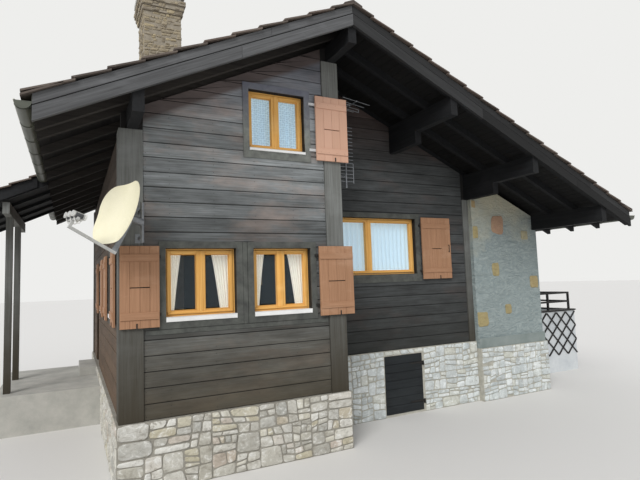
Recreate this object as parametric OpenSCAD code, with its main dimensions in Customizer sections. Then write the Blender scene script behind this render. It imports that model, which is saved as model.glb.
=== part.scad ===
// Alpine chalet: timber house on a rubble base, with an open-eaved purlin roof.
// Lengths run from the front left corner of the timber at the foot of the base
// (x to the right, y into the house, z up), and house() then centres them.

/* [House plan] */
// Width of the whole house over its walls
house_w = 8770; // [8000:10:11000]
// Depth of the house from the front block to the back wall
house_d = 8000; // [6500:10:11000]
// Width of the front block under the left slope
block_w = 3200; // [3150:10:3500]
// How far the right part of the front is set back
setback = 1030; // [700:10:1400]
// Width of the rendered part at the right end of the front
render_w = 1910; // [1500:10:2300]
// Thickness of the timber walls
timber_t = 160; // [100:5:220]
// How far the render stands in front of the timber
render_proud = 120; // [60:5:200]

/* [Levels] */
// Top of the rubble base under the front block
base_h = 850; // [600:10:1200]
// How much higher the rubble base of the right part is
base_step = 345; // [250:5:500]
// Thickness of the rubble base walls
base_t = 420; // [350:10:600]
// How far the rubble stands in front of the timber
base_proud = 60; // [20:5:100]
// Thickness of the cellar floor
cellar_floor_t = 120; // [80:10:200]
// Thickness of the storey floors
floor_t = 180; // [120:10:240]
// Underside of the upper floor above the lower ground floor's underside
storey_h = 2930; // [2900:10:3200]

/* [Roof] */
// How far the ridge lies inside the front block's right side
ridge_in = 85; // [20:5:120]
// Height of the verge boards' lower edge over the right wall
verge_eave_z = 3731; // [3500:10:4000]
// Pitch of the left slope in degrees
pitch_left = 25.5; // [22:0.1:30]
// Pitch of the right slope in degrees
pitch_right = 24.2; // [22:0.1:28]
// Overhang of the roof in front of the front block
verge_front = 744; // [500:5:900]
// Overhang of the roof behind the back wall
verge_back = 600; // [400:5:900]
// Overhang of the roof past the left wall
eave_l = 950; // [600:10:1100]
// Overhang of the roof past the right wall
eave_r = 700; // [500:10:1000]
// Upright height of the lower verge board
barge_low_h = 180; // [140:5:220]
// Thickness of the verge boards
barge_t = 32; // [20:1:50]
// Step of the lower verge board in front of the upper one
barge_step = 18; // [8:1:30]
// How far the rafters' underside lies above the verge boards' lower edge
soffit_rise = 30; // [10:5:60]
// Upright height of the rafters
rafter_h = 130; // [100:5:160]
// Width of the rafters
rafter_w = 80; // [60:5:110]
// Upright height of the roof boarding with its insulation
deck_h = 150; // [100:5:180]
// Length of one roof covering course across the house, as it shows
course_l = 370; // [300:5:450]
// Upright rise of a course over the one below it
course_rise = 34; // [20:1:50]
// Thickness of the roof covering
cover_t = 26; // [15:1:40]
// How far the covering reaches past the verge boards and eaves
cover_lip = 45; // [20:5:70]
// Clearance between the layers of the roof
seat_gap = 0.3; // [0.2:0.1:0.8]

/* [Purlins] */
// Width of the purlins
purlin_w = 135; // [110:5:180]
// How far the purlins show below the verge boards
purlin_drop = 255; // [200:5:300]
// Place of the right intermediate purlin across the house
mid_purlin_x = 5014; // [4800:10:5300]
// Depth of the corbels under the purlins
corbel_h = 214; // [150:5:260]
// Projection of the right corbels from the timber wall
corbel_l = 820; // [500:10:900]

/* [Posts] */
// Width of the left corner post
post_l_w = 262; // [180:2:300]
// Width of the front block's right post
post_r_w = 253; // [180:2:300]
// Width of the right part's end post
post_end_w = 150; // [100:5:200]
// How far the posts stand in front of the boards
post_proud = 35; // [15:5:60]

/* [Windows] */
// Sill height of the front block's lower windows above its timber
win_low_z = 1274; // [1150:5:1400]
// Height of the front block's lower windows
win_low_h = 911; // [800:5:1000]
// Left edge of the first lower window
win_a_x = 543; // [500:5:600]
// Wall between the two lower windows
win_gap = 255; // [220:5:320]
// Width of the second lower window
win_b_w = 905; // [800:5:950]
// Distance of the second lower window from the block's right side
win_b_side = 538; // [500:2:600]
// Sill height of the gable window above the front block's timber
win_top_z = 3651; // [3500:5:3700]
// Height of the gable window
win_top_h = 890; // [700:5:900]
// Distance of the gable window from the block's right side
win_top_side = 570; // [540:5:650]
// Width of the gable window
win_top_w = 897; // [800:5:950]
// Left edge of the wide window from the front block's side
win_wide_x = 190; // [160:5:300]
// Room between the wide window's folded shutter and the end post
win_wide_side = 412; // [350:2:800]
// Sill height of the wide window above its timber
win_wide_z = 1415; // [1200:5:1500]
// Height of the wide window
win_wide_h = 1076; // [900:5:1100]
// Width of the windows on the hidden sides
win_side_w = 950; // [800:10:1100]
// Depth of the window frames
frame_t = 70; // [50:2:90]
// Recess of the window frames behind the boards
frame_recess = 70; // [30:5:85]
// Width of the fixed frame as it shows
frame_w = 40; // [30:2:60]
// Width of the sash members
sash_w = 60; // [45:1:80]
// Thickness of the window glass
glass_t = 20; // [8:1:30]
// Width of the casings round the windows
casing_w = 90; // [60:5:110]
// Thickness of the casings
casing_t = 28; // [15:1:40]
// Height of the window sills
sill_h = 55; // [30:5:80]
// Projection of the window sills in front of the boards
sill_out = 60; // [35:5:100]

/* [Shutters] */
// Thickness of the shutter leaves
shutter_t = 30; // [20:1:40]
// Gap between a folded-back shutter and the casing or boards
shutter_gap = 12; // [5:1:30]
// Width of the shutter at the left corner
shutter_a_w = 482; // [400:2:520]
// Width of the shutter at the front block's right corner
shutter_b_w = 585; // [400:5:600]
// Width of the gable window's shutter
shutter_top_w = 560; // [400:5:600]
// Width of the wide window's shutter
shutter_wide_w = 718; // [500:2:750]
// Distance of the left corner's shutter from its window
shutter_a_off = 86; // [70:2:100]
// Distance of the right corner's shutter from its window
shutter_b_off = 122; // [100:2:180]
// Distance of the gable shutter from its window
shutter_top_off = 170; // [100:5:200]
// Distance of the wide window's shutter from its window
shutter_wide_off = 110; // [100:5:180]
// How far the shutters reach below their windows
shutter_below = 110; // [60:5:140]
// How far the shutters reach above their windows
shutter_above = 25; // [10:5:60]
// Width of the ledges across a shutter
ledge_w = 95; // [60:5:120]
// Thickness of the ledges across a shutter
ledge_t = 14; // [8:1:25]

/* [Cellar door] */
// Left edge of the cellar doorway
door_x = 4574; // [4300:10:4800]
// Width of the cellar doorway
door_w = 860; // [700:10:1000]
// Foot of the cellar door above the lowest ground
door_z = 40; // [20:5:80]
// Height of the rubble over the cellar doorway
door_head = 97; // [90:1:300]
// Thickness of the cellar door
door_t = 45; // [30:1:60]
// Clearance round the cellar door
door_gap = 6; // [5:0.5:12]
// Radius of the cellar door's hinge pins
hinge_r = 8; // [6:0.5:12]
// Running clearance round the hinge pins
hinge_play = 0.5; // [0.3:0.1:1]

/* [Entrance door] */
// Place of the entrance doorway along the left wall
entry_y = 5300; // [4800:10:5600]
// Width of the entrance doorway
entry_w = 980; // [850:10:1100]
// Height of the entrance doorway
entry_h = 2060; // [1950:10:2150]

/* [Chimney] */
// Left face of the chimney
chimney_x = 610; // [450:10:800]
// Front face of the chimney
chimney_y = 2560; // [2300:10:2900]
// Width of the chimney across the house
chimney_w = 680; // [600:10:800]
// Depth of the chimney along the house
chimney_d = 740; // [600:10:900]
// Top of the chimney's straight shaft
chimney_z = 7720; // [7500:10:8000]
// Height of the chimney's flared head
chimney_head_h = 270; // [150:30:390]
// How far the chimney's head flares out
chimney_flare = 80; // [40:5:120]
// Wall of the chimney
chimney_wall = 200; // [150:5:230]
// Thickness of the chimney's cover slab
chimney_slab_t = 90; // [60:5:120]

/* [Porch] */
// Front of the porch along the left wall
porch_y = 3300; // [3000:10:3800]
// Length of the porch roof along the left wall
porch_l = 3400; // [3000:50:5200]
// Reach of the porch roof past the left wall
porch_w = 2150; // [1900:10:2600]
// How far the porch rafters' underside lies above the main verge line
porch_rise = 100; // [80:5:120]
// Distance of the porch posts from the left wall
porch_post_x = 1595; // [1400:5:1750]
// Width of the porch posts
porch_post_w = 110; // [100:5:180]
// Height of the porch beam
porch_beam_h = 200; // [140:5:240]
// Top of the porch floor above the lowest ground
porch_floor_z = 700; // [500:10:830]

/* [Side terrace] */
// Reach of the side terrace past the right wall
terrace_w = 2600; // [2000:10:3200]
// Front of the side terrace
terrace_y = 2000; // [1500:10:2600]
// Depth of the side terrace
terrace_d = 4400; // [3000:10:5500]
// Top of the side terrace's front wall above the lowest ground
terrace_wall_z = 1570; // [1450:10:1750]
// Thickness of the side terrace's walls
terrace_wall_t = 180; // [140:10:240]
// Thickness of the side terrace's coping
coping_t = 40; // [30:5:60]
// Overhang of the side terrace's coping
coping_out = 30; // [25:5:60]
// Height of the railing above the side terrace's wall
rail_h = 450; // [350:10:600]
// Thickness of the railing's members
rail_t = 45; // [35:1:60]
// Spacing of the trellis bars along the wall
trellis_pitch = 365; // [220:5:400]
// Thickness of the trellis bars
trellis_t = 22; // [16:1:30]

/* [Gutters] */
// Radius of the gutters
gutter_r = 85; // [60:1:100]
// Sheet thickness of the gutters
gutter_t = 4; // [2:0.5:6]
// Radius of the downpipes
pipe_r = 42; // [35:1:60]

/* [Aerials] */
// Half the width of the dish
dish_r = 470; // [380:5:500]
// Half the height of the dish
dish_h = 385; // [340:5:480]
// Radius of the dish's rounded corners
dish_corner = 295; // [200:5:330]
// Depth of the dish at half its width
dish_depth = 110; // [60:5:130]
// Sheet thickness of the dish
dish_t = 5; // [3:0.5:8]
// Height of the dish's pivot above the lowest ground
dish_z = 3337; // [3100:1:3400]
// Distance of the dish from its mast
dish_off = 244; // [220:2:360]
// Turn of the dish about the upright
dish_turn = 67; // [40:1:80]
// Upward tilt of the dish
dish_tilt = 17; // [10:1:40]
// Length of the dish's feed arm in front of the dish
feed_l = 590; // [500:10:700]
// Length of the upper aerial's longest element
aerial_w = 550; // [400:10:700]
// Depth of the upper aerial's boom below the ridge of the gable
aerial_drop = 822; // [700:2:1000]
// Foot of the lower aerial's boom below the upper aerial
aerial_low_drop = 1350; // [1100:10:1400]
// Length of the lower aerial's upright boom
aerial_low_l = 950; // [700:10:1100]
// Length of the lower aerial's elements
aerial_low_w = 280; // [200:5:300]

/* [Hidden] */

render_t = timber_t + render_proud;
base_r_h = base_h + base_step;
door_h = base_r_h - door_head - door_z;
timber_r_x = house_w - render_w;
ridge_x = block_w - ridge_in;
verge_z = verge_eave_z + (house_w - ridge_x) * tan(pitch_right);
aerial_z = round(verge_z - aerial_drop);
aerial_low_z = aerial_z - aerial_low_drop;
front_r_y = setback;
in_r_y = front_r_y + timber_t;
back_in = house_d - timber_t;
upper_z = base_h + storey_h;
$fn = 48;

// Height of the verge boards' lower edge above a place across the house
function verge_at(x) = x < ridge_x
  ? verge_z - (ridge_x - x) * tan(pitch_left)
  : verge_z - (x - ridge_x) * tan(pitch_right);
function soffit_at(x) = verge_at(x) + soffit_rise;
function deck_at(x) = soffit_at(x) + rafter_h;
function cover_at(x) = deck_at(x) + deck_h;

module house() translate([-house_w / 2, -house_d / 2, 0]) children();

// Outline in x and z drawn out along y
module along_y(y0, y1)
  translate([0, y1, 0]) rotate([90, 0, 0]) linear_extrude(y1 - y0) children();

// Outline in y and z drawn out along x
module along_x(x0, x1)
  translate([x0, 0, 0]) rotate([90, 0, 90]) linear_extrude(x1 - x0) children();

module box(x0, x1, y0, y1, z0, z1)
  translate([x0, y0, z0]) cube([x1 - x0, y1 - y0, z1 - z0]);

// Rubble base and cellar
base_in = base_t - base_proud;
base_out = -base_proud;
render_base_h = base_r_h - 145;
render_y = front_r_y - render_proud;
ledge_h = 200;
ledge_out = 30;

module cellar_floor() house() color("#9a958a") linear_extrude(cellar_floor_t) polygon([
  [base_in, base_in], [block_w - base_in, base_in],
  [block_w - base_in, front_r_y + base_in], [timber_r_x, front_r_y + base_in],
  [house_w - base_in, front_r_y + base_in], [house_w - base_in, house_d - base_in],
  [base_in, house_d - base_in]]);

module stone_base_front_left() house() color("#b9ae98") linear_extrude(base_h) polygon([
  [base_out, base_out], [block_w + base_proud, base_out],
  [block_w + base_proud, front_r_y - base_proud], [block_w, front_r_y - base_proud],
  [block_w, front_r_y + base_in], [block_w - base_in, front_r_y + base_in],
  [block_w - base_in, base_in], [base_out, base_in]]);

module right_front_base(x0, x1, z0, z1)
  box(x0, x1, front_r_y - base_proud, front_r_y + base_in, z0, z1);

module stone_base_front_mid() house() color("#b9ae98")
  right_front_base(block_w, door_x, 0, base_r_h);

module stone_base_front_right() house() color("#b9ae98") {
  right_front_base(door_x + door_w, timber_r_x, 0, base_r_h);
  box(timber_r_x, house_w + base_proud, render_y - base_proud, front_r_y + base_in,
    0, render_base_h);
}

module cellar_door_surround() house() color("#a89d88") {
  right_front_base(door_x, door_x + door_w, door_z + door_h, base_r_h);
  right_front_base(door_x, door_x + door_w, 0, door_z);
}

module stone_base_left() house() color("#b9ae98")
  box(base_out, base_in, base_in, house_d - base_in, 0, base_h);

module stone_base_right() house() color("#b9ae98")
  box(house_w - base_in, house_w + base_proud, front_r_y + base_in, house_d - base_in,
    0, render_base_h);

module stone_base_back() house() color("#b9ae98")
  along_y(house_d - base_in, house_d + base_proud) polygon([
    [base_out, 0], [house_w + base_proud, 0], [house_w + base_proud, render_base_h],
    [house_w - render_t, render_base_h], [house_w - render_t, base_r_h],
    [block_w, base_r_h], [block_w, base_h], [base_out, base_h]]);

// Floors, with the two ground floor levels meeting at a riser
riser_t = 80;
chimney_gap = 10;
floor_edge = 770;
upper_edge_x = house_w - floor_edge;

module chimney_shaft(grow = 0)
  translate([chimney_x - grow, chimney_y - grow])
    square([chimney_w + 2 * grow, chimney_d + 2 * grow]);

module ground_floor() house() color("#8d8577") {
  translate([0, 0, base_h]) linear_extrude(floor_t) difference() {
    polygon([[timber_t, timber_t], [block_w - timber_t, timber_t],
      [block_w - timber_t, in_r_y], [block_w - timber_t + riser_t, in_r_y],
      [block_w - timber_t + riser_t, back_in], [timber_t, back_in]]);
    chimney_shaft(chimney_gap);
  }
  along_y(in_r_y, back_in) polygon([
    [block_w - timber_t, base_h + floor_t], [block_w - timber_t + riser_t, base_h + floor_t],
    [block_w - timber_t + riser_t, base_r_h], [house_w - render_t, base_r_h],
    [house_w - render_t, base_r_h + floor_t], [block_w - timber_t, base_r_h + floor_t]]);
}

module upper_floor() house() color("#8d8577")
  translate([0, 0, upper_z]) linear_extrude(floor_t) difference() {
    polygon([[timber_t, timber_t], [block_w - timber_t, timber_t],
      [block_w - timber_t, in_r_y], [upper_edge_x, in_r_y],
      [upper_edge_x, back_in], [timber_t, back_in]]);
    chimney_shaft(chimney_gap);
  }

// Purlins and corbels
P_WALL_L = post_l_w / 2;
P_WALL_R = house_w - purlin_w / 2;
PURLINS = [P_WALL_L, ridge_x, mid_purlin_x, timber_r_x, P_WALL_R];
CORBELS = [mid_purlin_x, timber_r_x];
function purlin_foot(x) = verge_at(x) - purlin_drop;

module purlin_outline(x) {
  a = x - purlin_w / 2;
  b = x + purlin_w / 2;
  crown = x == ridge_x ? [[x, soffit_at(x)]] : [];
  polygon(concat([[a, purlin_foot(x)], [b, purlin_foot(x)], [b, soffit_at(b)]],
    crown, [[a, soffit_at(a)]]));
}

// The cut in a wall for a purlin, open at its top
module purlin_notch(x)
  translate([x - purlin_w / 2, purlin_foot(x)]) square([purlin_w, 2 * purlin_drop]);

module corbel_outline(x)
  translate([x - purlin_w / 2, purlin_foot(x) - corbel_h]) square([purlin_w, corbel_h]);

module purlins() house() color("#3a3634")
  for (x = PURLINS) along_y(-verge_front, house_d + verge_back) purlin_outline(x);

module purlin_corbels() house() color("#3a3634")
  for (x = CORBELS) along_y(front_r_y - corbel_l, in_r_y) corbel_outline(x);

// Windows: wall, place along the wall, sill, width and height
FRONT = 0;
FRONT_R = 1;
LEFT = 2;
RIGHT = 3;
BACK = 4;
low_z = base_h + win_low_z;
win_b_x = block_w - win_b_side - win_b_w;
win_a_w = win_b_x - win_gap - win_a_x;
win_top_x = block_w - win_top_side - win_top_w;
win_wide_w = timber_r_x - post_end_w - win_wide_side - shutter_wide_w - shutter_wide_off
  - block_w - win_wide_x;
wide_z = base_r_h + win_wide_z;
WINDOWS = [
  [FRONT, win_a_x, low_z, win_a_w, win_low_h],
  [FRONT, win_b_x, low_z, win_b_w, win_low_h],
  [FRONT, win_top_x, base_h + win_top_z, win_top_w, win_top_h],
  [FRONT_R, block_w + win_wide_x, wide_z, win_wide_w, win_wide_h],
  [LEFT, 950, low_z, win_side_w, win_low_h],
  [LEFT, 3700, low_z, win_side_w, win_low_h],
  [RIGHT, 2700, low_z + 200, win_side_w, win_low_h],
  [RIGHT, 5300, low_z + 200, win_side_w, win_low_h],
  [BACK, 1100, low_z, win_side_w, win_low_h],
  [BACK, 3800, low_z + base_step, win_side_w, win_low_h],
  [BACK, 6300, low_z + base_step, win_side_w, win_low_h],
  [BACK, ridge_x - win_side_w / 2, base_h + win_top_z, win_side_w, win_top_h]
];

// Turns a wall's own place, depth and height into the house's
module on_wall(side) {
  if (side == FRONT) children();
  if (side == FRONT_R) translate([0, front_r_y, 0]) children();
  if (side == LEFT) mirror([1, -1, 0]) children();
  if (side == RIGHT) translate([house_w, 0, 0]) mirror([1, 0, 0]) mirror([1, -1, 0])
    children();
  if (side == BACK) translate([0, house_d, 0]) mirror([0, 1, 0]) children();
}

module window_holes(side)
  for (w = WINDOWS) if (w[0] == side) translate([w[1], w[2]]) square([w[3], w[4]]);

// One sash's outline, or its pane when it is inset by the sash members
module pane(w, i, inset) {
  leaf_w = (w[3] - 2 * frame_w) / 2;
  translate([w[1] + frame_w + i * leaf_w + inset, w[2] + frame_w + inset])
    square([leaf_w - 2 * inset, w[4] - 2 * frame_w - 2 * inset]);
}

sash_proud = 12;
module window_frame(w) on_wall(w[0]) {
  along_y(frame_recess, frame_recess + frame_t) difference() {
    translate([w[1], w[2]]) square([w[3], w[4]]);
    for (i = [0, 1]) pane(w, i, sash_w);
  }
  for (i = [0, 1]) along_y(frame_recess - sash_proud, frame_recess) difference() {
    pane(w, i, 0);
    pane(w, i, sash_w);
  }
}

module panes(w) on_wall(w[0])
  for (i = [0, 1])
    along_y(frame_recess + (frame_t - glass_t) / 2, frame_recess + (frame_t + glass_t) / 2)
      pane(w, i, sash_w);

module window_frames() house() color("#c98a3c") for (w = WINDOWS) window_frame(w);

module window_glass() house() color("#9fb4c0") for (w = WINDOWS) panes(w);

module window_casings() house() color("#2f2c2b")
  for (w = WINDOWS) if (w[0] != RIGHT) on_wall(w[0]) along_y(-casing_t, 0) difference() {
    translate([w[1] - casing_w, w[2] - sill_h - casing_w])
      square([w[3] + 2 * casing_w, w[4] + sill_h + 2 * casing_w]);
    translate([w[1], w[2] - sill_h]) square([w[3], w[4] + sill_h]);
  }

module window_sills() house() color("#d9d4c8")
  for (w = WINDOWS) on_wall(w[0])
    box(w[1], w[1] + w[3], -sill_out, 0, w[2] - sill_h, w[2]);

// Walls
module timber_wall_front_left() house() color("#4a4340") along_y(0, timber_t) difference() {
  polygon([[0, base_h], [block_w, base_h], [block_w, soffit_at(block_w)],
    [ridge_x, soffit_at(ridge_x)], [0, soffit_at(0)]]);
  for (x = [P_WALL_L, ridge_x]) purlin_notch(x);
  window_holes(FRONT);
}

module timber_wall_return() house() color("#4a4340")
  box(block_w - timber_t, block_w, timber_t, in_r_y, base_h, purlin_foot(ridge_x));

module timber_wall_front_right() house() color("#4a4340") along_y(front_r_y, in_r_y)
  difference() {
    polygon([[block_w, base_r_h], [timber_r_x, base_r_h],
      [timber_r_x, soffit_at(timber_r_x)], [block_w, soffit_at(block_w)]]);
    for (x = CORBELS) {
      purlin_notch(x);
      corbel_outline(x);
    }
    window_holes(FRONT_R);
  }

entry_z = base_h + floor_t;
module timber_wall_left() house() color("#4a4340") along_x(0, timber_t) difference() {
  translate([timber_t, base_h])
    square([back_in - timber_t, purlin_foot(P_WALL_L) - base_h]);
  window_holes(LEFT);
  translate([entry_y, base_h]) square([entry_w, floor_t + entry_h]);
}

module timber_wall_back() house() color("#4a4340") along_y(back_in, house_d) difference() {
  polygon([[0, base_h], [block_w, base_h], [block_w, base_r_h],
    [house_w - render_t, base_r_h], [house_w - render_t, soffit_at(house_w - render_t)],
    [ridge_x, soffit_at(ridge_x)], [0, soffit_at(0)]]);
  for (x = PURLINS) purlin_notch(x);
  window_holes(BACK);
}

// Rendered walls, each with the ledge at its foot
module rendered_wall_front() house() color("#9aa09c") {
  along_y(render_y, in_r_y) difference() {
    polygon([[timber_r_x, render_base_h], [house_w, render_base_h],
      [house_w, soffit_at(house_w)], [timber_r_x, soffit_at(timber_r_x)]]);
    for (x = [timber_r_x, P_WALL_R]) purlin_notch(x);
    corbel_outline(timber_r_x);
  }
  translate([0, 0, render_base_h]) linear_extrude(ledge_h) polygon([
    [timber_r_x, render_y - ledge_out], [house_w + ledge_out, render_y - ledge_out],
    [house_w + ledge_out, in_r_y], [house_w, in_r_y], [house_w, render_y],
    [timber_r_x, render_y]]);
}

module rendered_wall_right() house() color("#9aa09c") {
  along_x(house_w - render_t, house_w) difference() {
    translate([in_r_y, render_base_h])
      square([house_d - in_r_y, purlin_foot(P_WALL_R) - render_base_h]);
    window_holes(RIGHT);
  }
  box(house_w, house_w + ledge_out, in_r_y, house_d, render_base_h, render_base_h + ledge_h);
}

module corner_post(w0, w1, foot, top) {
  // A board on the front and one round the corner, as one angle
  translate([0, 0, foot]) linear_extrude(top - foot) polygon([
    [-post_proud, -post_proud], [w0, -post_proud], [w0, 0], [0, 0], [0, w1],
    [-post_proud, w1]]);
}

module corner_posts() house() color("#55504c") {
  corner_post(post_l_w, post_l_w, base_h, purlin_foot(P_WALL_L));
  translate([block_w, 0, 0]) mirror([1, 0, 0])
    corner_post(post_r_w, post_r_w, base_h, purlin_foot(ridge_x));
  translate([0, house_d, 0]) mirror([0, 1, 0])
    corner_post(post_l_w, post_l_w, base_h, purlin_foot(P_WALL_L));
  box(timber_r_x - post_end_w, timber_r_x, front_r_y - post_proud, front_r_y, base_r_h,
    purlin_foot(timber_r_x) - corbel_h);
}

// Rafters stand over the gable walls and leave a bay for the chimney
function spread(a, b, n) = [for (i = [0:n - 1]) a + (b - a) * i / n];
over_wall = (timber_t - rafter_w) / 2;
first_rafter = -verge_front;
back_rafter = back_in + over_wall;
last_rafter = house_d + verge_back - rafter_w;
chimney_bay = 30;
before_chimney = chimney_y - chimney_bay - rafter_w;
behind_chimney = chimney_y + chimney_d + chimney_bay;
RAFTERS_L = concat(spread(first_rafter, over_wall, 2), spread(over_wall, before_chimney, 3),
  [before_chimney], spread(behind_chimney, back_rafter, 6), [back_rafter, last_rafter]);
RAFTERS_R = concat(spread(first_rafter, front_r_y + over_wall, 3),
  spread(front_r_y + over_wall, back_rafter, 9), [back_rafter, last_rafter]);

module slope_outline(x0, x1, z0, z1)
  polygon([[x0, verge_at(x0) + z0], [x1, verge_at(x1) + z0], [x1, verge_at(x1) + z1],
    [x0, verge_at(x0) + z1]]);

deck_z = soffit_rise + rafter_h;
cover_z = deck_z + deck_h;
module rafters_left() house() color("#3f3b39") for (y = RAFTERS_L) along_y(y, y + rafter_w)
  slope_outline(-eave_l, ridge_x, soffit_rise + seat_gap, deck_z - seat_gap);

module rafters_right() house() color("#3f3b39") for (y = RAFTERS_R) along_y(y, y + rafter_w)
  slope_outline(ridge_x, house_w + eave_r, soffit_rise + seat_gap, deck_z - seat_gap);

module roof_boarding_left() house() color("#3a3532") difference() {
  along_y(-verge_front, house_d + verge_back)
    slope_outline(-eave_l, ridge_x, deck_z, cover_z);
  linear_extrude(verge_z * 2) chimney_shaft(chimney_gap);
}

module roof_boarding_right() house() color("#3a3532")
  along_y(-verge_front, house_d + verge_back)
    slope_outline(ridge_x, house_w + eave_r, deck_z, cover_z);

// Roof covering in lapped courses, each a step up from the one below
function course_count(x_eave, x_top) = ceil(abs(x_top - x_eave) / course_l);
module course_outline(x_eave, x_top) {
  n = course_count(x_eave, x_top);
  step = (x_top - x_eave) / n;
  teeth = [for (i = [0:n - 1]) each [
    [x_eave + i * step, cover_at(x_eave + i * step) + cover_t + course_rise],
    [x_eave + (i + 1) * step, cover_at(x_eave + (i + 1) * step) + cover_t]]];
  polygon(concat([[x_eave, cover_at(x_eave) + seat_gap]], teeth,
    [[x_top, cover_at(x_top) + seat_gap]]));
}

cover_y0 = -verge_front - barge_t - cover_lip;
cover_y1 = house_d + verge_back + barge_t + cover_lip;
cover_l_x = -eave_l;
cover_r_x = house_w + eave_r + cover_lip;
module roof_cover_left() house() color("#6d5d50") difference() {
  along_y(cover_y0, cover_y1) course_outline(cover_l_x, ridge_x);
  linear_extrude(verge_z * 2) chimney_shaft(chimney_gap);
}

module roof_cover_right() house() color("#6d5d50") along_y(cover_y0, cover_y1)
  course_outline(cover_r_x, ridge_x);

// Ridge tiles in lapped lengths, astride the two slopes
cap_w = 150;
cap_l = 400;
cap_t = 22;
function course_lift(x_eave) =
  course_rise * cap_w * course_count(x_eave, ridge_x) / abs(ridge_x - x_eave);
module cap_outline(thick) {
  seat = cover_t + seat_gap;
  foot_l = [ridge_x - cap_w, cover_at(ridge_x - cap_w) + seat + course_lift(cover_l_x)];
  foot_r = [ridge_x + cap_w, cover_at(ridge_x + cap_w) + seat + course_lift(cover_r_x)];
  crown = [ridge_x, cover_at(ridge_x) + seat];
  polygon([foot_l, crown, foot_r, foot_r + [0, thick], crown + [0, thick * 1.6],
    foot_l + [0, thick]]);
}

module ridge_caps() house() color("#6d5d50") {
  n = floor((cover_y1 - cover_y0) / cap_l);
  len = (cover_y1 - cover_y0) / n;
  for (i = [0:n - 1]) along_y(cover_y0 + i * len, cover_y0 + (i + 1) * len)
    cap_outline(cap_t * (1 + (i % 2) / 2));
}

// Verge boards, the lower one a step in front of the upper
module verge_boards(y_face, dir) {
  y_low = y_face + dir * (barge_t + barge_step);
  for (s = [[-eave_l, ridge_x], [ridge_x, house_w + eave_r]]) {
    along_y(min(y_face, y_low), max(y_face, y_low))
      slope_outline(s[0], s[1], 0, barge_low_h);
    along_y(min(y_face, y_face + dir * barge_t), max(y_face, y_face + dir * barge_t))
      slope_outline(s[0], s[1], barge_low_h, cover_z);
  }
}

module barge_boards() house() color("#77716a") {
  verge_boards(-verge_front, -1);
  verge_boards(house_d + verge_back, 1);
}

// Gutters and downpipes
gutter_drop = 90;
gutter_end = 30;
module gutter(x_eave, dir, y0, y1) {
  rim = cover_at(x_eave) - gutter_drop;
  translate([x_eave, 0, rim]) {
    along_y(y0, y1) {
      translate([dir * gutter_r, 0]) difference() {
        circle(gutter_r);
        circle(gutter_r - gutter_t);
        translate([-gutter_r, 0]) square(2 * gutter_r);
      }
      translate([dir > 0 ? 0 : -gutter_t, -gutter_t]) square([gutter_t, gutter_drop - 20]);
    }
    for (y = [y0, y1 - gutter_t]) along_y(y, y + gutter_t)
      translate([dir * gutter_r, 0]) difference() {
        circle(gutter_r);
        translate([-gutter_r, 0]) square(2 * gutter_r);
      }
  }
}

eave_r_x = house_w + eave_r;
module gutters() house() color("#7f8a80") {
  gutter(-eave_l, -1, -verge_front - gutter_end, porch_y - gutter_end);
  gutter(-porch_w, -1, porch_y - gutter_end, porch_back + porch_lip);
  gutter(-eave_l, -1, porch_back + porch_lip + gutter_end, cover_y1);
  gutter(eave_r_x, 1, -verge_front - gutter_end, cover_y1);
}

// A round bar from one point to another
module rod(a, b, r) {
  v = b - a;
  flat = norm([v[0], v[1]]);
  translate(a) rotate([0, atan2(flat, v[2]), atan2(v[1], v[0])]) cylinder(h = norm(v), r = r);
}

pipe_inset = 350;
pipe_y = house_d - pipe_inset;
pipe_foot = 60;
pipe_swan = 420;
elbow_r = pipe_r + 4;
module downpipes() house() color("#7f8a80") {
  x0 = eave_r_x + gutter_r;
  z0 = cover_at(eave_r_x) - gutter_drop - gutter_r;
  x1 = house_w + base_proud + pipe_r;
  z1 = z0 - pipe_swan;
  rod([x0, pipe_y, z0 - 90], [x0, pipe_y, z0], pipe_r);
  rod([x0, pipe_y, z0 - 90], [x1, pipe_y, z1], pipe_r);
  for (p = [[x0, pipe_y, z0 - 90], [x1, pipe_y, z1]]) translate(p) sphere(elbow_r);
  rod([x1, pipe_y, pipe_foot], [x1, pipe_y, z1], pipe_r);
}

// Chimney, its head stepping out course by course
module chimney_stack() house() color("#8d7a66") difference() {
  union() {
    translate([0, 0, cellar_floor_t]) linear_extrude(chimney_z - cellar_floor_t)
      chimney_shaft();
    for (i = [0:2]) translate([0, 0, chimney_z + i * chimney_head_h / 3])
      linear_extrude(chimney_head_h / 3) chimney_shaft(chimney_flare * (i + 1) / 3);
  }
  translate([0, 0, cellar_floor_t + 200]) linear_extrude(chimney_z + chimney_head_h)
    chimney_shaft(-chimney_wall);
}

cover_pier_h = 110;
module chimney_cover() house() color("#8b8780") {
  head_z = chimney_z + chimney_head_h;
  for (x = [chimney_x, chimney_x + chimney_w - 150])
    for (y = [chimney_y, chimney_y + chimney_d - 150])
      box(x, x + 150, y, y + 150, head_z, head_z + cover_pier_h);
  translate([0, 0, head_z + cover_pier_h]) linear_extrude(chimney_slab_t)
    chimney_shaft(chimney_flare);
}

// Shutters folded back against the wall, on hinge blocks at the casing
shutter_y = -post_proud - shutter_gap;
hinge_in = 60;
hinge_h = 70;
hinge_over_sill = 15;
module shutter(edge, off, dir, w, z, h) {
  x0 = edge + dir * off;
  x1 = x0 + dir * w;
  box(min(x0, x1), max(x0, x1), shutter_y - shutter_t, shutter_y, z, z + h);
  for (zl = [z + h * 0.1, z + h * 0.9 - ledge_w])
    box(min(x0, x1), max(x0, x1), shutter_y - shutter_t - ledge_t, shutter_y - shutter_t,
      zl, zl + ledge_w);
  a = edge + dir * (casing_w - 25);
  b = x0 + dir * hinge_in;
  for (zl = [z + shutter_below + hinge_over_sill, z + h * 0.9 - hinge_h])
    box(min(a, b), max(a, b), shutter_y, -casing_t, zl, zl + hinge_h);
}

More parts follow.
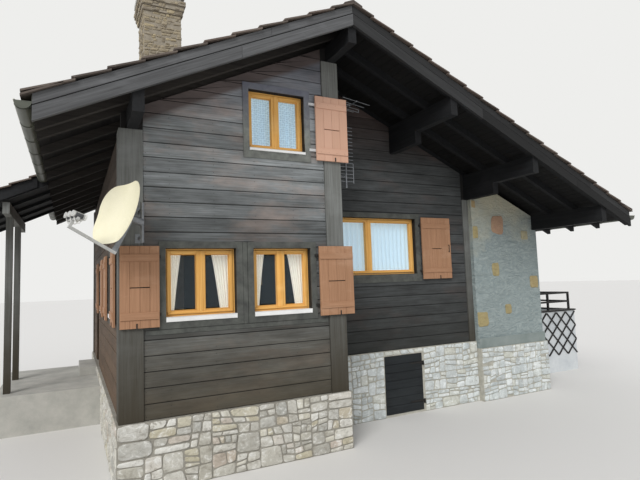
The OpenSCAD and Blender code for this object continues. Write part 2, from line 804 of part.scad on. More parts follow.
module window_shutter(w, dir, off, width)
  on_wall(w[0]) shutter(dir > 0 ? w[1] + w[3] : w[1], off, dir, width,
    w[2] - shutter_below, w[4] + shutter_below + shutter_above);

shutter_side_w = win_side_w / 2 + 30;
module shutters() house() color("#b0714f") {
  window_shutter(WINDOWS[0], -1, shutter_a_off, shutter_a_w);
  window_shutter(WINDOWS[1], 1, shutter_b_off, shutter_b_w);
  window_shutter(WINDOWS[2], 1, shutter_top_off, shutter_top_w);
  window_shutter(WINDOWS[3], 1, shutter_wide_off, shutter_wide_w);
  for (w = WINDOWS) if (w[0] == LEFT || w[0] == BACK) for (dir = [-1, 1])
    window_shutter(w, dir, shutter_wide_off, shutter_side_w);
}

// Cellar door on two strap hinges at its right edge
knuckle_r = hinge_r + hinge_play + 6;
strap_t = 8;
strap_h = 50;
strap_l = 330;
knuckle_gap = 3;
hinge_x = door_x + door_w + 16;
hinge_y = front_r_y - base_proud - knuckle_gap - knuckle_r;
leaf_y = hinge_y + strap_t / 2;
STRAPS = [door_z + 150, door_z + door_h - 150 - strap_h];

module cellar_door() house() color("#2c2a29") difference() {
  union() {
    box(door_x + door_gap, door_x + door_w - door_gap, leaf_y, leaf_y + door_t,
      door_z + door_gap, door_z + door_h - door_gap);
    for (z = STRAPS) {
      box(hinge_x - strap_l, hinge_x, leaf_y - strap_t, leaf_y, z, z + strap_h);
      translate([hinge_x, hinge_y, z]) cylinder(h = strap_h, r = knuckle_r);
    }
  }
  for (z = STRAPS) translate([hinge_x, hinge_y, z - 1])
    cylinder(h = strap_h + 2, r = hinge_r + hinge_play);
}

pintle_w = 26;
pintle_h = 30;
module cellar_door_pintles() house() color("#2b2b2c") for (z = STRAPS) {
  translate([hinge_x, hinge_y, z - pintle_h]) cylinder(h = strap_h + pintle_h, r = hinge_r);
  box(hinge_x - pintle_w / 2, hinge_x + pintle_w / 2, hinge_y - pintle_w / 2,
    front_r_y - base_proud, z - pintle_h, z - 2);
}

// Entrance door, fixed, under the porch
jamb_w = 60;
module entrance_door() house() color("#5a4634") on_wall(LEFT) {
  along_y(20, timber_t) difference() {
    translate([entry_y, base_h]) square([entry_w, floor_t + entry_h]);
    translate([entry_y + jamb_w, entry_z]) square([entry_w - 2 * jamb_w, entry_h - jamb_w]);
  }
  box(entry_y + jamb_w, entry_y + entry_w - jamb_w, 60, 110, entry_z,
    entry_z + entry_h - jamb_w);
}

// Porch: a masonry floor, posts with a beam, and the slope carried on
porch_back = porch_y + porch_l;
porch_post_front = 670;
porch_post_back = 1200;
porch_floor_in = 340;
porch_post_ys = [porch_y + porch_post_front, porch_back - porch_post_back];
porch_lip = barge_t + cover_lip;
step_rise = (entry_z - porch_floor_z) / 2;
module porch_floor() house() color("#8f8c85") {
  box(-porch_post_x - 180, base_out, porch_y + porch_floor_in, porch_back, 0, porch_floor_z);
  box(base_out - 340, base_out, entry_y - 100, entry_y + entry_w + 100, porch_floor_z,
    porch_floor_z + step_rise);
}

module porch_posts() house() color("#6f6962") {
  half = porch_post_w / 2;
  under = verge_at(-porch_post_x - half) + porch_rise;
  for (y = porch_post_ys)
    box(-porch_post_x - half, -porch_post_x + half, y - half, y + half, porch_floor_z,
      under - porch_beam_h);
  box(-porch_post_x - half, -porch_post_x + half, porch_y + 60, porch_back - 100,
    under - porch_beam_h, under);
}

PORCH_RAFTERS = spread(porch_y, porch_back - rafter_w, 4);
module porch_roof_frame() house() color("#3f3b39") {
  for (y = concat(PORCH_RAFTERS, [porch_back - rafter_w])) along_y(y, y + rafter_w)
    slope_outline(-porch_w, -eave_l, porch_rise, deck_z);
  along_y(porch_y, porch_back) slope_outline(-porch_w, -eave_l, deck_z, cover_z);
  for (y = [porch_y - barge_t, porch_back]) along_y(y, y + barge_t)
    slope_outline(-porch_w, -eave_l - gutter_r * 2, porch_rise + 24, cover_z);
}

module porch_roof_cover() house() color("#6d5d50")
  along_y(porch_y - porch_lip, porch_back + porch_lip) course_outline(-porch_w, -eave_l);

// Side terrace: walls round a floor, a trellis on the front and a railing above
terrace_x0 = house_w + base_proud;
terrace_x1 = house_w + terrace_w;
terrace_y1 = terrace_y + terrace_d;
terrace_floor_t = 150;
module terrace_masonry() house() color("#d8d6d0") {
  box(terrace_x0, terrace_x1 - terrace_wall_t, terrace_y + terrace_wall_t,
    terrace_y1 - terrace_wall_t, base_r_h - terrace_floor_t, base_r_h);
  top = terrace_wall_z - coping_t;
  box(terrace_x0, terrace_x1, terrace_y, terrace_y + terrace_wall_t, 0, top);
  box(terrace_x1 - terrace_wall_t, terrace_x1, terrace_y + terrace_wall_t,
    terrace_y1 - terrace_wall_t, 0, top);
  box(terrace_x0, terrace_x1, terrace_y1 - terrace_wall_t, terrace_y1, 0, top);
}

module terrace_coping() house() color("#45423f") {
  z = terrace_wall_z - coping_t;
  box(terrace_x0, terrace_x1 + coping_out, terrace_y - coping_out, terrace_y + terrace_wall_t,
    z, terrace_wall_z);
  box(terrace_x1 - terrace_wall_t, terrace_x1 + coping_out, terrace_y + terrace_wall_t,
    terrace_y1 - terrace_wall_t, z, terrace_wall_z);
  box(terrace_x0, terrace_x1 + coping_out, terrace_y1 - terrace_wall_t, terrace_y1 + coping_out,
    z, terrace_wall_z);
}

// The trellis is whole diamonds wide and high, so its bars meet at the corners
trellis_bar = 32;
trellis_top = terrace_wall_z - 60;
trellis_w = terrace_x1 - terrace_x0;
trellis_n = round(trellis_w / trellis_pitch);
trellis_step = trellis_w / trellis_n;
trellis_rows = floor((trellis_top - 120) / trellis_step);
trellis_h = trellis_rows * trellis_step;
module terrace_trellis() house() color("#2c2a29")
  along_y(terrace_y - trellis_t, terrace_y) translate([terrace_x0, trellis_top - trellis_h])
    intersection() {
      square([trellis_w, trellis_h]);
      for (i = [-trellis_rows:trellis_n + trellis_rows], lean = [-45, 45])
        translate([i * trellis_step, 0]) rotate(lean)
          translate([-trellis_bar / 2, -trellis_bar])
            square([trellis_bar, 2 * trellis_h]);
    }

rail_bays = 3;
module rail_run(a, b) {
  step = (b - a) / rail_bays;
  for (i = [0:rail_bays]) translate([i * step[0], i * step[1], 0] + a)
    translate([-rail_t / 2, -rail_t / 2, 0]) cube([rail_t, rail_t, rail_h]);
  for (z = [rail_h / 2 - rail_t, rail_h - rail_t])
    box(a[0] - rail_t / 2, b[0] + rail_t / 2, a[1] - rail_t / 2, b[1] + rail_t / 2,
      a[2] + z, a[2] + z + rail_t);
}

module terrace_railing() house() color("#3a3634") {
  front = [terrace_x0 + 60, terrace_y + terrace_wall_t / 2, terrace_wall_z];
  corner = [terrace_x1 - terrace_wall_t / 2, terrace_y + terrace_wall_t / 2, terrace_wall_z];
  rear = [terrace_x1 - terrace_wall_t / 2, terrace_y1 - terrace_wall_t / 2, terrace_wall_z];
  rail_run(front, corner);
  rail_run(corner, rear);
}

// Dish on the left corner post, its axis turned to the left and tilted up
mast_x = 222;
mast_off = 233;
mast_y = -post_proud - mast_off;
mast_r = 24;
mast_top = 250;
mast_foot = 250;
module dish_place() translate([mast_x, mast_y, dish_z])
  rotate([0, 0, -dish_turn]) rotate([-dish_tilt, 0, 0]) children();

// The dish's own frame: its middle at the origin, its axis along z
module dish_axis() dish_place() translate([0, -dish_off, 0]) rotate([90, 0, 0]) children();

// Parabolic shell turned about its own axis, then cut to a rounded square
dish_rings = 12;
dish_round = norm([dish_r - dish_corner, dish_h - dish_corner]) + dish_corner;
dish_ring_w = dish_round / dish_rings;
function dish_face(i) = [dish_ring_w * i, dish_depth * pow(dish_ring_w * i / dish_r, 2)];
module dish_square() {
  in_x = dish_r - dish_corner;
  in_y = dish_h - dish_corner;
  square([2 * dish_r, 2 * in_y], center = true);
  square([2 * in_x, 2 * dish_h], center = true);
  for (x = [-in_x, in_x], y = [-in_y, in_y]) translate([x, y]) circle(dish_corner);
}

module dish_reflector() house() color("#e9e2c8") dish_axis() intersection() {
  rotate_extrude($fn = 96) polygon(concat(
    [for (i = [0:dish_rings]) dish_face(i)],
    [for (i = [dish_rings:-1:0]) dish_face(i) - [0, dish_t]]));
  translate([0, 0, -dish_depth]) linear_extrude(4 * dish_depth) dish_square();
}

// Feed arm under the dish, rising towards the three heads in a row
arm_y = -dish_h - 85;
arm_tilt = 11;
arm_back = -30;
arm_w = 30;
lnb_r = 32;
lnb_l = 150;
lnb_gap = 100;
lnb_rise = 110;
module feed_place() dish_axis() translate([0, arm_y, 0]) rotate([-arm_tilt, 0, 0]) children();
module dish_feed() house() color("#b9b8b2") feed_place() {
  translate([-arm_w / 2, -arm_w / 2, arm_back]) cube([arm_w, arm_w, feed_l - arm_back]);
  translate([-arm_w / 2, 0, feed_l - arm_w]) cube([arm_w, lnb_rise, arm_w]);
  translate([-lnb_gap - lnb_r, lnb_rise - arm_w, feed_l - arm_w])
    cube([2 * (lnb_gap + lnb_r), arm_w, arm_w]);
  for (x = [-lnb_gap, 0, lnb_gap]) {
    head = [x, lnb_rise + lnb_r / 2, feed_l - arm_w / 2];
    rod(head + [0, 0, lnb_l / 2], head - [x * 0.15, -lnb_l * 0.2, lnb_l / 2], lnb_r);
  }
}

// Mast held by two arms and a plate, with the dish's seat and the arm's strut
mast_arm = 40;
fixing_low = 200;
fixing_high = 140;
plate_t = 8;
seat_r = 45;
module dish_bracket() house() color("#8c8e8c") {
  translate([mast_x, mast_y, dish_z - mast_foot]) cylinder(h = mast_foot + mast_top, r = mast_r);
  for (z = [dish_z - fixing_low, dish_z + fixing_high]) {
    box(mast_x - 20, mast_x + 20, mast_y, -post_proud, z, z + mast_arm);
    box(mast_x - 60, mast_x + 36, -post_proud - plate_t, -post_proud, z - mast_arm,
      z + 2 * mast_arm);
  }
  dish_axis() rotate_extrude() polygon([dish_face(0) - [0, dish_t], dish_face(1) - [0, dish_t],
    dish_face(2) - [0, dish_t], [dish_face(2)[0], -60], [seat_r, -90],
    [seat_r, -dish_off], [0, -dish_off]]);
  feed_place() translate([-arm_w / 2, arm_w / 2, arm_back]) cube([arm_w, -arm_y, 2 * arm_w]);
}

// Two rod aerials on a mast beside the front block's right post
pole_x = block_w + 250;
pole_y = 170;
pole_r = 17;
low_boom_x = block_w + 210;
low_boom_y = 100;
boom_r = 10;
rod_r = 5;
top_boom_side = 390;
top_boom_x = block_w + top_boom_side;
top_boom_y = -20;
top_boom_l = 430;
top_gap = 135;
top_taper = 55;
rod_gap = 60;
loop_h = 45;
grid_h = 330;
stay_low = 130;
stay_top = 250;
clip_low = 210;
clip_top = 150;
module cross_rods(at, length, lean, turn) translate(at) rotate([0, lean, turn])
  translate([-length / 2, 0, 0]) rotate([0, 90, 0]) cylinder(h = length, r = rod_r);

module top_aerial() {
  rod([top_boom_x, top_boom_y - boom_r, aerial_z],
    [top_boom_x, top_boom_y + top_boom_l, aerial_z], boom_r);
  for (i = [0:3]) cross_rods([top_boom_x, top_boom_y + i * top_gap, aerial_z],
    aerial_w - i * top_taper, 5, 6);
  // The third element is a loop
  translate([top_boom_x, top_boom_y + 2 * top_gap, aerial_z]) rotate([0, 5, 6]) {
    half = aerial_w / 2 - top_taper;
    cross_rods([0, 0, -loop_h], 2 * half, 0, 0);
    for (x = [-half, half]) rod([x, 0, -loop_h - rod_r], [x, 0, rod_r], rod_r + 1);
  }
}

module low_aerial() {
  top = aerial_low_z + aerial_low_l;
  rod([low_boom_x, low_boom_y, aerial_low_z], [low_boom_x, low_boom_y, top], boom_r);
  for (z = [aerial_low_z + rod_gap / 2:rod_gap:top])
    cross_rods([low_boom_x, low_boom_y, z], aerial_low_w, 0, 0);
  for (x = [-aerial_low_w / 2, aerial_low_w / 2])
    rod([low_boom_x + x, low_boom_y, aerial_low_z], [low_boom_x + x, low_boom_y,
      aerial_low_z + grid_h], rod_r + 1);
  box(low_boom_x - 35, low_boom_x + 35, low_boom_y - 30, low_boom_y + 30,
    aerial_low_z + grid_h, aerial_low_z + grid_h + 80);
}

module wall_aerial() house() color("#55565a") {
  rod([pole_x, pole_y, aerial_low_z - 60], [pole_x, pole_y, aerial_z + 60], pole_r);
  for (z = [aerial_low_z + stay_low, aerial_z - stay_top])
    rod([block_w + post_proud, pole_y, z], [pole_x, pole_y, z], boom_r);
  rod([pole_x, pole_y, aerial_z], [top_boom_x, pole_y, aerial_z], boom_r);
  for (z = [aerial_low_z + clip_low, aerial_low_z + aerial_low_l - clip_top])
    rod([low_boom_x, low_boom_y, z], [pole_x, pole_y, z], boom_r);
  top_aerial();
  low_aerial();
}

cellar_floor();
stone_base_front_left();
stone_base_front_mid();
stone_base_front_right();
cellar_door_surround();
stone_base_left();
stone_base_right();
stone_base_back();
ground_floor();
upper_floor();
timber_wall_front_left();
timber_wall_return();
timber_wall_front_right();
timber_wall_left();
timber_wall_back();
rendered_wall_front();
rendered_wall_right();
corner_posts();
purlins();
purlin_corbels();
rafters_left();
rafters_right();
roof_boarding_left();
roof_boarding_right();
roof_cover_left();
roof_cover_right();
ridge_caps();
barge_boards();
gutters();
downpipes();
chimney_stack();
chimney_cover();
window_frames();
window_glass();
window_casings();
window_sills();
shutters();
cellar_door();
cellar_door_pintles();
entrance_door();
porch_floor();
porch_posts();
porch_roof_frame();
porch_roof_cover();
terrace_masonry();
terrace_coping();
terrace_trellis();
terrace_railing();
dish_reflector();
dish_feed();
dish_bracket();
wall_aerial();
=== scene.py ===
import math
import random

import bpy
from mathutils import Matrix, Vector
from mathutils.noise import noise


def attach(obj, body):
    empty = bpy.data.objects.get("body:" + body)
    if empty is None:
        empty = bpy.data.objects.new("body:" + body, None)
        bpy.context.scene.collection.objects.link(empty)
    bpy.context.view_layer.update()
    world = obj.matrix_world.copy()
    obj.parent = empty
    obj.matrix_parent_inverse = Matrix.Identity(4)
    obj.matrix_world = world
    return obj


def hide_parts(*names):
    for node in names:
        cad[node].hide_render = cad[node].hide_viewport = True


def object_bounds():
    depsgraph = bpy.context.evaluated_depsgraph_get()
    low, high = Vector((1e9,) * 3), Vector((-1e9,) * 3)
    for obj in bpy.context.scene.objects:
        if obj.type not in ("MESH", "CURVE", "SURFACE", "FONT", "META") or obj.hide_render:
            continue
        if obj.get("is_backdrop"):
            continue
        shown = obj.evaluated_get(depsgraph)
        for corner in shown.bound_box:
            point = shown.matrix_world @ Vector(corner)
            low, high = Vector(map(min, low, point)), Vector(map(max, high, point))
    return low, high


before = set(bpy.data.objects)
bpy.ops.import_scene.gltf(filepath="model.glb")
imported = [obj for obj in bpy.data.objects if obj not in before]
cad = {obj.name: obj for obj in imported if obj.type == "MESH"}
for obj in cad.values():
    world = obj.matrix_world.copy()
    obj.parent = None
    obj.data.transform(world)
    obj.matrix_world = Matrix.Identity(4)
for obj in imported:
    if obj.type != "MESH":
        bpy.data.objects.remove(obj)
cad_low, cad_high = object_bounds()
HOUSE, LEAF = "house", "cellar_door_leaf"

# Sizes in millimetres from the house's own corner: x to the right, y to the back, z up
HOUSE_W, HOUSE_D, BLOCK_W, SETBACK = 8770, 8000, 3200, 1030
TIMBER_R, RENDER_Y = 6860, 910
BASE_H, BASE_R_H, RENDER_BASE_H, BASE_OUT = 850, 1195, 1050, 60
PITCH_L, PITCH_R = math.tan(math.radians(25.5)), math.tan(math.radians(24.2))
RIDGE_X, WALL_TOP_R = 3115, 3731
VERGE_Z = WALL_TOP_R + (HOUSE_W - RIDGE_X) * PITCH_R
EAVE_L, EAVE_R = -950, 9470
VERGE_FRONT, VERGE_BACK, BARGE_T, COVER_LIP = -744, 8600, 32, 45
COVER_Y0, COVER_Y1 = VERGE_FRONT - BARGE_T - COVER_LIP, VERGE_BACK + BARGE_T + COVER_LIP
PORCH_X, PORCH_Y, PORCH_BACK, PORCH_LIP = -2150, 3300, 6700, BARGE_T + COVER_LIP
PORCH_FLOOR_IN, PORCH_FLOOR_Z = 340, 700
TERRACE_Y0, TERRACE_Y1 = 2000, 6400
SOFFIT, DECK, COVER = 30, 160, 310
POST_L, POST_R, POST_END = 262, 253, 150
PURLINS, PURLIN_W, PURLIN_H = [131, RIDGE_X, 5014, TIMBER_R, 8702.5], 135, 255


def verge(x):
    """Height of the verge boards' lower edge at x."""
    if x < RIDGE_X:
        return VERGE_Z - (RIDGE_X - x) * PITCH_L
    return VERGE_Z - (x - RIDGE_X) * PITCH_R


def at(x, y, z):
    """A place in the house's millimetres, as the model's metres."""
    return Vector(((x - HOUSE_W / 2) / 1000, (y - HOUSE_D / 2) / 1000, z / 1000))


def placed(name, data):
    """A new object in the scene."""
    obj = bpy.data.objects.new(name, data)
    bpy.context.scene.collection.objects.link(obj)
    return obj


def mesh_of(name, points, faces=()):
    """A new mesh from its points and faces."""
    mesh = bpy.data.meshes.new(name)
    mesh.from_pydata([tuple(p) for p in points], [], list(faces))
    return mesh


def aim_camera():
    """The photograph's view: from 2.5 m over the house's zero, 27 degrees to the right."""
    yaw, pitch, roll = 0.4708, 0.0833, -0.0346
    ahead = Vector((math.sin(yaw) * math.cos(pitch), math.cos(yaw) * math.cos(pitch),
                    math.sin(pitch)))
    right = Vector((math.cos(yaw), -math.sin(yaw), 0))
    up = right.cross(ahead)
    turned_right = right * math.cos(roll) + up * math.sin(roll)
    turned_up = up * math.cos(roll) - right * math.sin(roll)
    camera = placed("camera", bpy.data.cameras.new("camera"))
    camera.data.sensor_width, camera.data.lens = 36, 27.465
    camera.data.clip_start, camera.data.clip_end = 0.1, 300
    camera.matrix_world = Matrix.Translation((-4.937, -10.667, 2.536)) @ Matrix(
        (turned_right, turned_up, -ahead)).transposed().to_4x4()
    bpy.context.scene.camera = camera


aim_camera()


# Materials
def linear(code):
    """An sRGB hex colour as the linear colour that a socket takes."""
    parts = [int(code[i:i + 2], 16) / 255 for i in (1, 3, 5)]
    return [c / 12.92 if c <= 0.04045 else ((c + 0.055) / 1.055) ** 2.4 for c in parts] + [1.0]


def add(tree, kind, out=None, links=None, stops=(), **settings):
    """Adds one node with its settings, colour stops and inputs; gives it, or one output."""
    node = tree.nodes.new(kind)
    for key, value in settings.items():
        setattr(node, key, value)
    if stops:
        elements = node.color_ramp.elements
        while len(elements) < len(stops):
            elements.new(1)
        for element, (place, code) in zip(elements, stops):
            element.position, element.color = place, linear(code)
    for key, value in (links or {}).items():
        if isinstance(value, bpy.types.NodeSocket):
            tree.links.new(value, node.inputs[key])
        else:
            node.inputs[key].default_value = value
    return node if out is None else node.outputs[out]


def finish_of(name, rough, **sockets):
    """A new material, its tree and its shader."""
    material = bpy.data.materials.new(name)
    material.use_nodes = True
    shader = material.node_tree.nodes["Principled BSDF"]
    shader.inputs["Roughness"].default_value = rough
    for key, value in sockets.items():
        shader.inputs[key.replace("_", " ")].default_value = value
    return material, material.node_tree, shader


def dressed(tree, shader, colour, height, depth):
    """Gives a shader its colour, and its relief as a bump of that depth in metres."""
    tree.links.new(colour, shader.inputs["Base Color"])
    bump = add(tree, "ShaderNodeBump", "Normal",
               {"Height": height, "Distance": depth, "Strength": 1.0})
    tree.links.new(bump, shader.inputs["Normal"])


def pattern(tree, per_metre, coords=None, turn=(0, 0, 0), detail=4, rough=0.55, bend=0):
    """Noise with that many cells to the metre along each axis."""
    place = add(tree, "ShaderNodeMapping", "Vector", {
        "Vector": coords or add(tree, "ShaderNodeTexCoord", "Object"), "Scale": per_metre,
        "Rotation": turn})
    return add(tree, "ShaderNodeTexNoise", "Fac", {
        "Vector": place, "Scale": 1.0, "Detail": detail, "Roughness": rough, "Distortion": bend})


def varied(tree, colour, tone, low=0.8, high=1.2):
    """A colour made darker or lighter by a tone from 0 to 1."""
    level = add(tree, "ShaderNodeMapRange", "Result",
                {"Value": tone, "To Min": low, "To Max": high})
    return add(tree, "ShaderNodeHueSaturation", "Color", {"Color": colour, "Value": level})


def tinted(tree, colour, code, value, start, full, share, rest=0.0):
    """A colour with a tint mixed in: rest of it where a value is at start, share at full."""
    part = add(tree, "ShaderNodeMapRange", "Result", {
        "Value": value, "From Min": start, "From Max": full, "To Min": rest, "To Max": share})
    return add(tree, "ShaderNodeMix", 2, {0: part, 6: colour, 7: linear(code)},
               data_type="RGBA")


def along_axis(tree, axis):
    """Where a point lies along an axis of the frame, in metres."""
    return add(tree, "ShaderNodeSeparateXYZ", axis,
               {"Vector": add(tree, "ShaderNodeTexCoord", "Object")})


def by_height(tree, stops, tallest=10.0, most=5.0):
    """A level that follows the height over z 0, through (metres, level) stops.

    The curve itself runs from 0 to 1, so heights and levels are shares of the largest.
    """
    share = add(tree, "ShaderNodeMath", "Value",
                {0: along_axis(tree, "Z"), 1: 1 / tallest}, operation="MULTIPLY")
    curve = add(tree, "ShaderNodeFloatCurve", links={"Value": share})
    points = curve.mapping.curves[0].points
    while len(points) < len(stops):
        points.new(0.5, 0.5)
    for point, (z, level) in zip(points, stops):
        point.location = (z / tallest, level / most)
        point.handle_type = "VECTOR"
    curve.mapping.update()
    return add(tree, "ShaderNodeMath", "Value", {0: curve.outputs["Value"], 1: most},
               operation="MULTIPLY")


def wood(name, dark, light, worn, grain=None, patches=(0.55, 0.75), rough=0.8, depth=0.0015,
         tones=(0.8, 1.2), low=None, high=None, heights=None, faded=None, uneven=0.0,
         eave_shadow=None):
    """Boards with streaks along the grain, drawn 12 mm wide so that they show, over fine ones.

    Boards of scene.py have their own map and tone. CAD nodes give a grain in cells to the metre.
    """
    material, tree, shader = finish_of(name, rough, Specular_IOR_Level=0.3)
    own = grain is None
    coords = add(tree, "ShaderNodeUVMap", "UV", uv_map="grain") if own else None
    tone = add(tree, "ShaderNodeAttribute", "Fac", attribute_name="tone")
    height = along_axis(tree, "Z")
    scale = (1.3, 45, 1) if own else grain
    streaks = pattern(tree, scale, coords, detail=5, rough=0.65, bend=0.4)
    fine = pattern(tree, tuple(4 * s for s in scale), coords, detail=3)
    colour = add(tree, "ShaderNodeValToRGB", "Color", {"Fac": streaks},
                 [(0.3, dark), (0.68, light)])
    cloud = pattern(tree, (0.9, 0.9, 2.2), detail=5, rough=0.65)
    colour = tinted(tree, colour, worn, cloud, *patches, 0.75)
    # The colours of the wall's foot, up to z 2.6 m, and of its head, from z 4.7 m
    if low:
        colour = tinted(tree, colour, low, height, 0.9, 2.6, 0.0, 0.78)
    if high:
        colour = tinted(tree, colour, high, height, 4.7, 5.9, 0.6)
    if faded:
        # Boards whose tone is over 0.6 have lost part of their colour
        colour = tinted(tree, colour, faded, tone, 0.6, 1.0, 0.75)
    if heights:
        colour = add(tree, "ShaderNodeHueSaturation", "Color",
                     {"Color": colour, "Value": by_height(tree, heights)})
    if eave_shadow:
        # The strip within 0.2 m of the verge's lower line is painted brown and darker: painted
        # shadow of the eave
        aside = add(tree, "ShaderNodeMath", "Value",
                    {0: along_axis(tree, "X"), 1: at(RIDGE_X, 0, 0).x}, operation="SUBTRACT")
        aside = add(tree, "ShaderNodeMath", "Value", {0: aside}, operation="ABSOLUTE")
        risen = add(tree, "ShaderNodeMath", "Value", {0: aside, 1: PITCH_L, 2: height},
                    operation="MULTIPLY_ADD")
        top = VERGE_Z / 1000
        colour = tinted(tree, colour, eave_shadow, risen, top - 0.23, top - 0.15, 0.9)
    if own:
        colour = varied(tree, colour, tone, *tones)
    if uneven:
        # Stain worn unevenly, in drifts about half a metre long
        drift = pattern(tree, (1.6, 1.6, 5.0), detail=4, rough=0.6)
        colour = varied(tree, colour, drift, 1 - uneven, 1 + uneven)
    both = add(tree, "ShaderNodeMath", "Value", {0: streaks, 1: fine}, operation="ADD")
    dressed(tree, shader, colour, both, depth)
    return material


def stone(name, stops, stained="#857d70", pale="#f0efea", per_metre=(9, 9, 12)):
    """Split stones, each of its own colour from the ramp, with veins and a gritty face."""
    material, tree, shader = finish_of(name, 0.85, Specular_IOR_Level=0.35)
    tone = add(tree, "ShaderNodeAttribute", "Fac", attribute_name="tone")
    colour = add(tree, "ShaderNodeValToRGB", "Color", {"Fac": tone}, stops)
    # Brown stains in the hollows and fresh pale breaks, 60 to 120 mm across
    patches = pattern(tree, per_metre, detail=7, rough=0.72, bend=0.7)
    colour = tinted(tree, colour, stained, patches, 0.46, 0.32, 0.72)
    colour = tinted(tree, colour, pale, patches, 0.52, 0.66, 0.72)
    veins = pattern(tree, (9, 9, 16), detail=6, rough=0.7, bend=0.6)
    grit = pattern(tree, (26, 26, 34), detail=6, rough=0.75)
    dressed(tree, shader, varied(tree, colour, veins, 0.68, 1.3), grit, 0.016)
    return material


def mottled(name, dark, light, per_metre=(3, 3, 3), rough=0.8, depth=0.004, **sockets):
    """A surface of two close colours in clouds, with a fine grain in its relief."""
    material, tree, shader = finish_of(name, rough, **sockets)
    clouds = pattern(tree, per_metre, detail=6, rough=0.62)
    grain = pattern(tree, (90, 90, 90), detail=3)
    colour = add(tree, "ShaderNodeValToRGB", "Color", {"Fac": clouds},
                 [(0.3, dark), (0.7, light)])
    both = add(tree, "ShaderNodeMath", "Value", {0: clouds, 1: grain}, operation="ADD")
    dressed(tree, shader, varied(tree, colour, grain, 0.9, 1.1), both, depth)
    return material


# Stained larch boards, planed and lapped: brown at the foot, gone grey-blue up the gable. Painted
# lighter up the gable, where the roof shades it, and darker again towards the ridge: painted shade
# of the eaves
boards_finish = wood(
    "stained_larch_boards", "#474948", "#66696a", "#6f655f", low="#4c4433", high="#595a64",
    patches=(0.5, 0.68), tones=(0.78, 1.2), uneven=0.7, eave_shadow="#574c49",
    heights=((0.8, 0.86), (2.1, 0.95), (3.3, 1.12), (4.3, 2.0), (5.2, 2.4), (5.5, 1.7), (6.0, 1.1)))
# The same boards on the set-back wall, a darker copy with the shade under the deepest eaves painted
# in: brown-black, and brown-red and darkest towards the eaves
recess_shade_finish = wood(
    "larch_boards_in_painted_eave_shade", "#383938", "#535657", "#594e4a", low="#2f302c", high="#5a4038",
    tones=(0.8, 1.18), uneven=0.7,
    heights=((0.8, 0.72), (2.6, 0.84), (4.2, 0.92), (5.4, 0.72), (6.3, 0.6)))
# The side wall's boards, warm brown, with the eaves' shade painted in: darker towards the top
side_finish = wood(
    "brown_larch_boards", "#453a31", "#67574a", "#5d544b", low="#5b4632", tones=(0.82, 1.16),
    uneven=0.5, heights=((0.8, 0.95), (2.6, 0.9), (4.2, 0.55), (6.3, 0.5)))
# The wall behind them, near black so that the joints read dark: painted shade in the gaps between
# the boards
joint_finish = mottled("dark_board_joints", "#141312", "#1d1b1a", depth=0.001)
# Sawn larch, silvered up high and brown at the foot
post_finish = wood(
    "silvered_larch_posts", "#545450", "#717370", "#7b7d7b", grain=(38, 38, 1.2), low="#443a26",
    patches=(0.5, 0.8), heights=((0.8, 0.62), (2.2, 0.82), (3.6, 1.15), (6.3, 1.35)))
# Planed larch verge boards, silvered where the left slope's see the sun
verge_finish = wood("silvered_verge_boards", "#4a4a4b", "#696a6b", "#767779", tones=(0.05, 1.16))
# Rough sawn spruce beams, dark stain, painted nearly black for the shade under the roof
beam_finish = wood("spruce_beams_in_painted_shade", "#101113", "#1e1f21", "#28292b", grain=(30, 1.2, 30),
                   depth=0.002)
# The left slope's rafters, brown, with daylight painted on where the front one looks out under the
# verge: lighter from z 4.8 to 5.5 m, darker above and below
rafter_finish = wood(
    "rafters_with_painted_light", "#2e2a28", "#403c38", "#4a4541", grain=(1.2, 30, 30), depth=0.002,
    heights=((4.2, 0.35), (4.8, 1.0), (5.5, 0.9), (6.2, 0.35)))
# Planed and stained casings, paler at the gable, where more light reaches them
casing_finish = wood(
    "stained_casings", "#3c3d3b", "#575954", "#605e5d", grain=(6, 6, 6), high="#585a70",
    heights=((0.8, 0.9), (2.4, 1.15), (3.9, 1.0), (4.4, 2.1), (4.8, 2.7), (5.4, 2.1)))
# Sawn spruce boards, painted nearly black for the deep shade under the eaves; lighter where their
# tone paints the daylight
soffit_finish = wood("soffit_boards_in_painted_shade", "#090809", "#121110", "#181615", tones=(0.7, 5.0))
# Planed and stained doors: black-brown for the cellar, brown under the porch
door_finish = wood("dark_stained_door_boards", "#171a1c", "#24282a", "#2c3032",
                   tones=(0.85, 1.15))
entry_finish = wood("brown_stained_door", "#4d3620", "#6f5132", "#77593a")
# Clear spirit varnish over larch: honey colour and a soft gloss
varnish_finish = wood("honey_varnished_larch", "#d39744", "#f1bd6d", "#f2c680", rough=0.38,
                      depth=0.0004, tones=(0.94, 1.06))
# Oil paint on boards, brushed, chalky where it has weathered
shutter_finish = wood("salmon_brown_paint", "#967053", "#ab8163", "#b99478", rough=0.66,
                      depth=0.0005, tones=(0.95, 1.07), faded="#d3aa95")
# Planed spruce floor boards, bare
floor_finish = wood("planed_floor_boards", "#7a6444", "#9a8159", "#a48c66", grain=(1.2, 9, 30))
# Split limestone of the set-back walls' base: cool, near white with a few greenish stones
cool_rubble = stone("split_limestone_cool", [
    (0.0, "#b9bebd"), (0.2, "#d3d8d6"), (0.4, "#c2c7c5"), (0.55, "#e2e6e5"),
    (0.7, "#c8c8bc"), (0.85, "#dadfdd"), (1.0, "#bac1c1")], stained="#99988f", pale="#f6f9f8")
# The same on the front block, greyer with honey stones between
rubble_finish = stone("split_limestone", [
    (0.0, "#a8a59b"), (0.2, "#c8c5bb"), (0.4, "#b3afa2"), (0.55, "#dddbd3"),
    (0.7, "#bdb69e"), (0.8, "#bcb0a2"), (0.9, "#d4d1c8"), (1.0, "#a9a8a0")])
